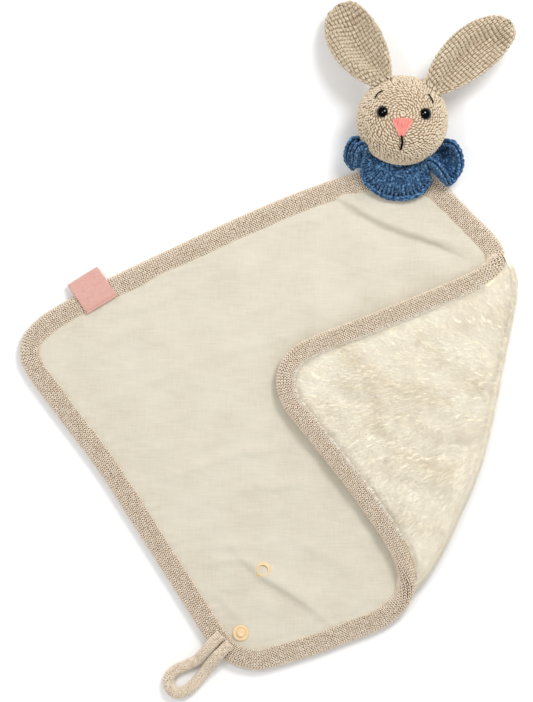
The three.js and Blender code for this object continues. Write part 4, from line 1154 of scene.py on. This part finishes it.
sheet = collar_clear(sheet)
for _ in range(3):
    sheet[1:-1] = 0.25 * sheet[:-2] + 0.5 * sheet[1:-1] + 0.25 * sheet[2:]
    ring = sheet[:, :-1]
    ring = 0.25 * np.roll(ring, 1, 1) + 0.5 * ring + 0.25 * np.roll(ring, -1, 1)
    sheet = np.concatenate([ring, ring[:, :1]], 1)
collar_normal = unit(np.cross(np.gradient(sheet, axis=0), np.gradient(sheet, axis=1)))
rim_far = distances(sheet[-1])
RIM_LENGTH = rim_far[-1]
POST_WIDTH, INNER_POSTS, CHAIN_LINK = 3.1, 0.74, 4.2


def collar_skin(side):
    """side is 1 on the face that looks up at the front, and -1 on the other."""
    def skin(v, u):
        """v is the share round the rim, u the share from the ring to the rim."""
        i = np.clip(u, 0, 1) * (COLLAR_STEPS - 1.001)
        last = len(rim_far) - 1
        j = np.clip(np.interp(v % 1.0, rim_far / RIM_LENGTH, np.arange(last + 1)), 0, last - 0.001)
        normal = unit(between(collar_normal, i, j)) * side
        return between(sheet, i, j) + normal * 0.75, normal
    return skin


parts = []
outer_posts = int(round(RIM_LENGTH / POST_WIDTH))
inner_posts = int(round(outer_posts * INNER_POSTS))
t = np.linspace(0, 1, 9)
twist = 2 * np.pi * 1.4 * t
for side in (1, -1):
    skin = collar_skin(side)
    for count, start, end in ((inner_posts, 0.0, 0.44), (outer_posts, 0.42, 0.93)):
        middle = np.arange(count)[:, None] + 0.5
        for sign in (-1, 1):
            v = (middle + 0.15 * sign * np.cos(twist) + chance.normal(0, 0.05, (count, 1))) / count
            p, normal = skin(v, start + (end - start) * t + 0 * v)
            rise = 0.15 + 0.6 * np.sin(np.pi * t) + 0.35 * sign * np.sin(twist)
            r = 0.98 * (0.75 + 0.3 * np.sin(np.pi * t)) * chance.uniform(0.88, 1.12, (count, 1))
            parts.append(strand_data(p + normal * rise[:, None], r, normal, 6))
    for count, place in ((outer_posts, 0.43), (inner_posts, 0.03)):
        parts.append(knit_data(skin, (np.arange(count) + 0.5) / count, place, 1 / count, 0.04,
                               radius=0.78, lift=0.6, lean=0.7, points=5, sides=6, sink=-0.3))
# the chain along the rim
chain = int(round(RIM_LENGTH / CHAIN_LINK))
for side in (1, -1):
    parts.append(knit_data(collar_skin(side), (np.arange(chain) + 0.5) / chain, 0.955, 1 / chain, 0.07,
                           radius=1.3, lift=0.8, lean=0.5, points=6, sides=7, sink=-0.1))
verts, faces = joined(parts)
collar_knit = make_mesh("collar_knit", above_floor(verts), faces, collar_look)
# a dark sheet under the stitches: painted shade in the gaps between them
COLLAR_HALF = 0.7
top, bottom = sheet + COLLAR_HALF * collar_normal, sheet - COLLAR_HALF * collar_normal
shell = np.concatenate([top, bottom[::-1]])[:, :-1]
shell_faces = grid(shell, wrap_u=True, wrap_v=True)
collar_painted_shade_sheet = make_mesh("collar_painted_shade_sheet", above_floor(shell), [shell_faces], collar_sheet_painted_shade_look)
for part in (collar_knit, collar_painted_shade_sheet):
    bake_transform(part)
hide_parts("collar_ruffle")


# Snaps: turned plastic parts, the socket and the stud on the muslin and their caps underneath
def turned_part(name, profile, centre, height, body, node):
    p, faces = standing(profile, np.array([0, 0, 1.0]), sides=64)
    part = make_mesh(name, p + np.array([*centre, height]), faces, snap_look)
    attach(part, body)
    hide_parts(node)


SNAP_UPPER, SNAP_LOWER = (-42.35, -107.12), (-57.9, -151.32)
SNAP_SEAT = 6.8
SNAP_RADIUS = 5.65
crest = [(5.5, 0.0), (SNAP_RADIUS, 0.25), (SNAP_RADIUS, 0.6), (5.45, 0.95)]
socket_profile = crest + [
    (5.1, 1.3), (4.7, 1.65), (4.3, 1.95), (3.95, 2.12), (3.65, 2.12), (3.42, 1.95), (3.33, 1.6), (3.3, 0.7),
    (3.1, 0.52), (2.5, 0.52), (2.38, 0.8), (2.2, 0.92), (0.8, 0.9), (0.5, 0.78), (0.02, 0.76),
]
stud_profile = crest + [
    (5.1, 1.12), (4.7, 1.2), (4.3, 1.16), (3.95, 1.0), (3.7, 0.78), (3.4, 0.66), (2.6, 0.7), (2.5, 0.95),
    (2.7, 1.4), (2.8, 1.75), (2.7, 2.15), (2.45, 2.42), (2.1, 2.5), (0.9, 2.46), (0.6, 2.3), (0.02, 2.28),
]
cap_profile = [
    (0.02, 0.0), (4.6, 0.0), (5.15, 0.08), (5.5, 0.3), (SNAP_RADIUS, 0.6), (SNAP_RADIUS, 1.0), (5.45, 1.3),
    (1.5, 1.3), (1.5, 6.4), (0.02, 6.4),
]
turned_part("snap_socket_ring", socket_profile, SNAP_UPPER, SNAP_SEAT, "blanket", "snap_socket")
turned_part("snap_stud_knob", stud_profile, SNAP_LOWER, SNAP_SEAT, "tab", "snap_stud")
turned_part("snap_cap_under_socket", cap_profile, SNAP_UPPER, 0.0, "blanket", "snap_cap_upper")
turned_part("snap_cap_under_stud", cap_profile, SNAP_LOWER, 0.0, "tab", "snap_cap_lower")

# The label: a tape folded double, that lies over the border and droops past its outer edge
LABEL_CORNERS = [(67.3, 285.1), (97, 266.6), (87.1, 314.4), (117.8, 295.8)]
outer_left, outer_right, inner_left, inner_right = (mm(*corner) for corner in LABEL_CORNERS)
LABEL_HALF = 0.58
LABEL_STITCHES = 10


def label_place(u, v, side):
    """u runs from the sewn edge to the fold, v across, side is -1 below and 1 on top."""
    left = inner_left + u[..., None] * (outer_left - inner_left)
    right = inner_right + u[..., None] * (outer_right - inner_right)
    plan = left + v[..., None] * (right - left)
    edge = np.minimum(1, np.minimum(np.minimum(v, 1 - v), np.minimum(u, 1 - u)) / 0.03)
    fat = LABEL_HALF * np.sqrt(1 - (1 - edge) ** 2)
    seam = 0.22 * bump((u - 0.07) * 25, 0.7)
    height = 9.25 - 0.5 * ease((0.14 - u) / 0.14) - 4.0 * ease((u - 0.42) / 0.58) ** 1.3
    sag = 0.18 * np.sin(5 * v + 3 * u) * ease(u / 0.4)
    return np.concatenate([plan, (height + sag + side * (fat - seam))[..., None]], -1)


share = np.linspace(0, 1, 60)
top = label_place(*np.meshgrid(share, share, indexing="ij"), 1)
bottom = label_place(*np.meshgrid(share, share[1:-1], indexing="ij"), -1)
tape = np.concatenate([top, bottom[:, ::-1]], 1)
label = make_mesh("label_tape", tape, [face[:, ::-1] for face in tube(tape)], label_look)
starts = (np.arange(LABEL_STITCHES)[:, None] + 0.2) / LABEL_STITCHES
t = np.linspace(0, 1, 7)
across = starts + 0.62 / LABEL_STITCHES * t
lines = label_place(0.07 + 0 * across, across, 1)
lines[..., 2] += 0.28 * np.sin(np.pi * t) - 0.12
ups = np.zeros(lines.shape) + np.array([0, 0, 1.0])
verts, faces = strand_data(lines, np.full(lines.shape[:2], 0.2), ups, 6)
label_thread = make_mesh("label_stitches", verts, faces, label_thread_look)
for part in (label, label_thread):
    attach(part, "blanket")
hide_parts("label")

# Floor and lights: a white floor, a broad soft light from above the head's end, and a fill
FLOOR_REACH, FLOOR_HEIGHT = 4000, -0.05
floor_look = bpy.data.materials.new("floor")
floor_look.use_nodes = True
floor_shader = floor_look.node_tree.nodes["Principled BSDF"]
floor_shader.inputs["Base Color"].default_value = (0.97, 0.97, 0.97, 1)
floor_shader.inputs["Roughness"].default_value = 1.0
floor_shader.inputs["Specular IOR Level"].default_value = 0.0
across = FLOOR_REACH * np.array([-1, 1, 1, -1])
along = FLOOR_REACH * np.array([-1, -1, 1, 1])
corners = np.stack([across, along, np.full(4, FLOOR_HEIGHT)], -1)
floor = make_mesh("floor", corners, [np.arange(4)[None]], floor_look)

LIGHT_TARGET = Vector((0, 0.05, 0))


def area_light(name, place, size, power):
    data = bpy.data.lights.new(name, "AREA")
    data.shape = "DISK"
    data.size = size
    data.energy = power
    light = new_object(name, data)
    light.location = place
    light.rotation_mode = "QUATERNION"
    light.rotation_quaternion = (LIGHT_TARGET - Vector(place)).to_track_quat("-Z", "Y")


area_light("key", (0.45, 0.75, 1.1), 0.45, 9.0)
area_light("fill", (-0.6, 0.35, 1.7), 0.28, 4.0)
world = bpy.data.worlds.new("world")
world.use_nodes = True
background = world.node_tree.nodes["Background"]
background.inputs["Color"].default_value = (1, 1, 1, 1)
# glossy rays see a darker room, so that the eyes mirror the two lamps and little else
rays = add_node(world.node_tree, "LightPath", {})
inputs = {0: rays.outputs["Is Glossy Ray"], 1: -0.66, 2: 0.74}
room = add_node(world.node_tree, "Math", inputs, "MULTIPLY_ADD")
world.node_tree.links.new(room.outputs[0], background.inputs["Strength"])
bpy.context.scene.world = world
bpy.context.scene.view_settings.view_transform = "Standard"
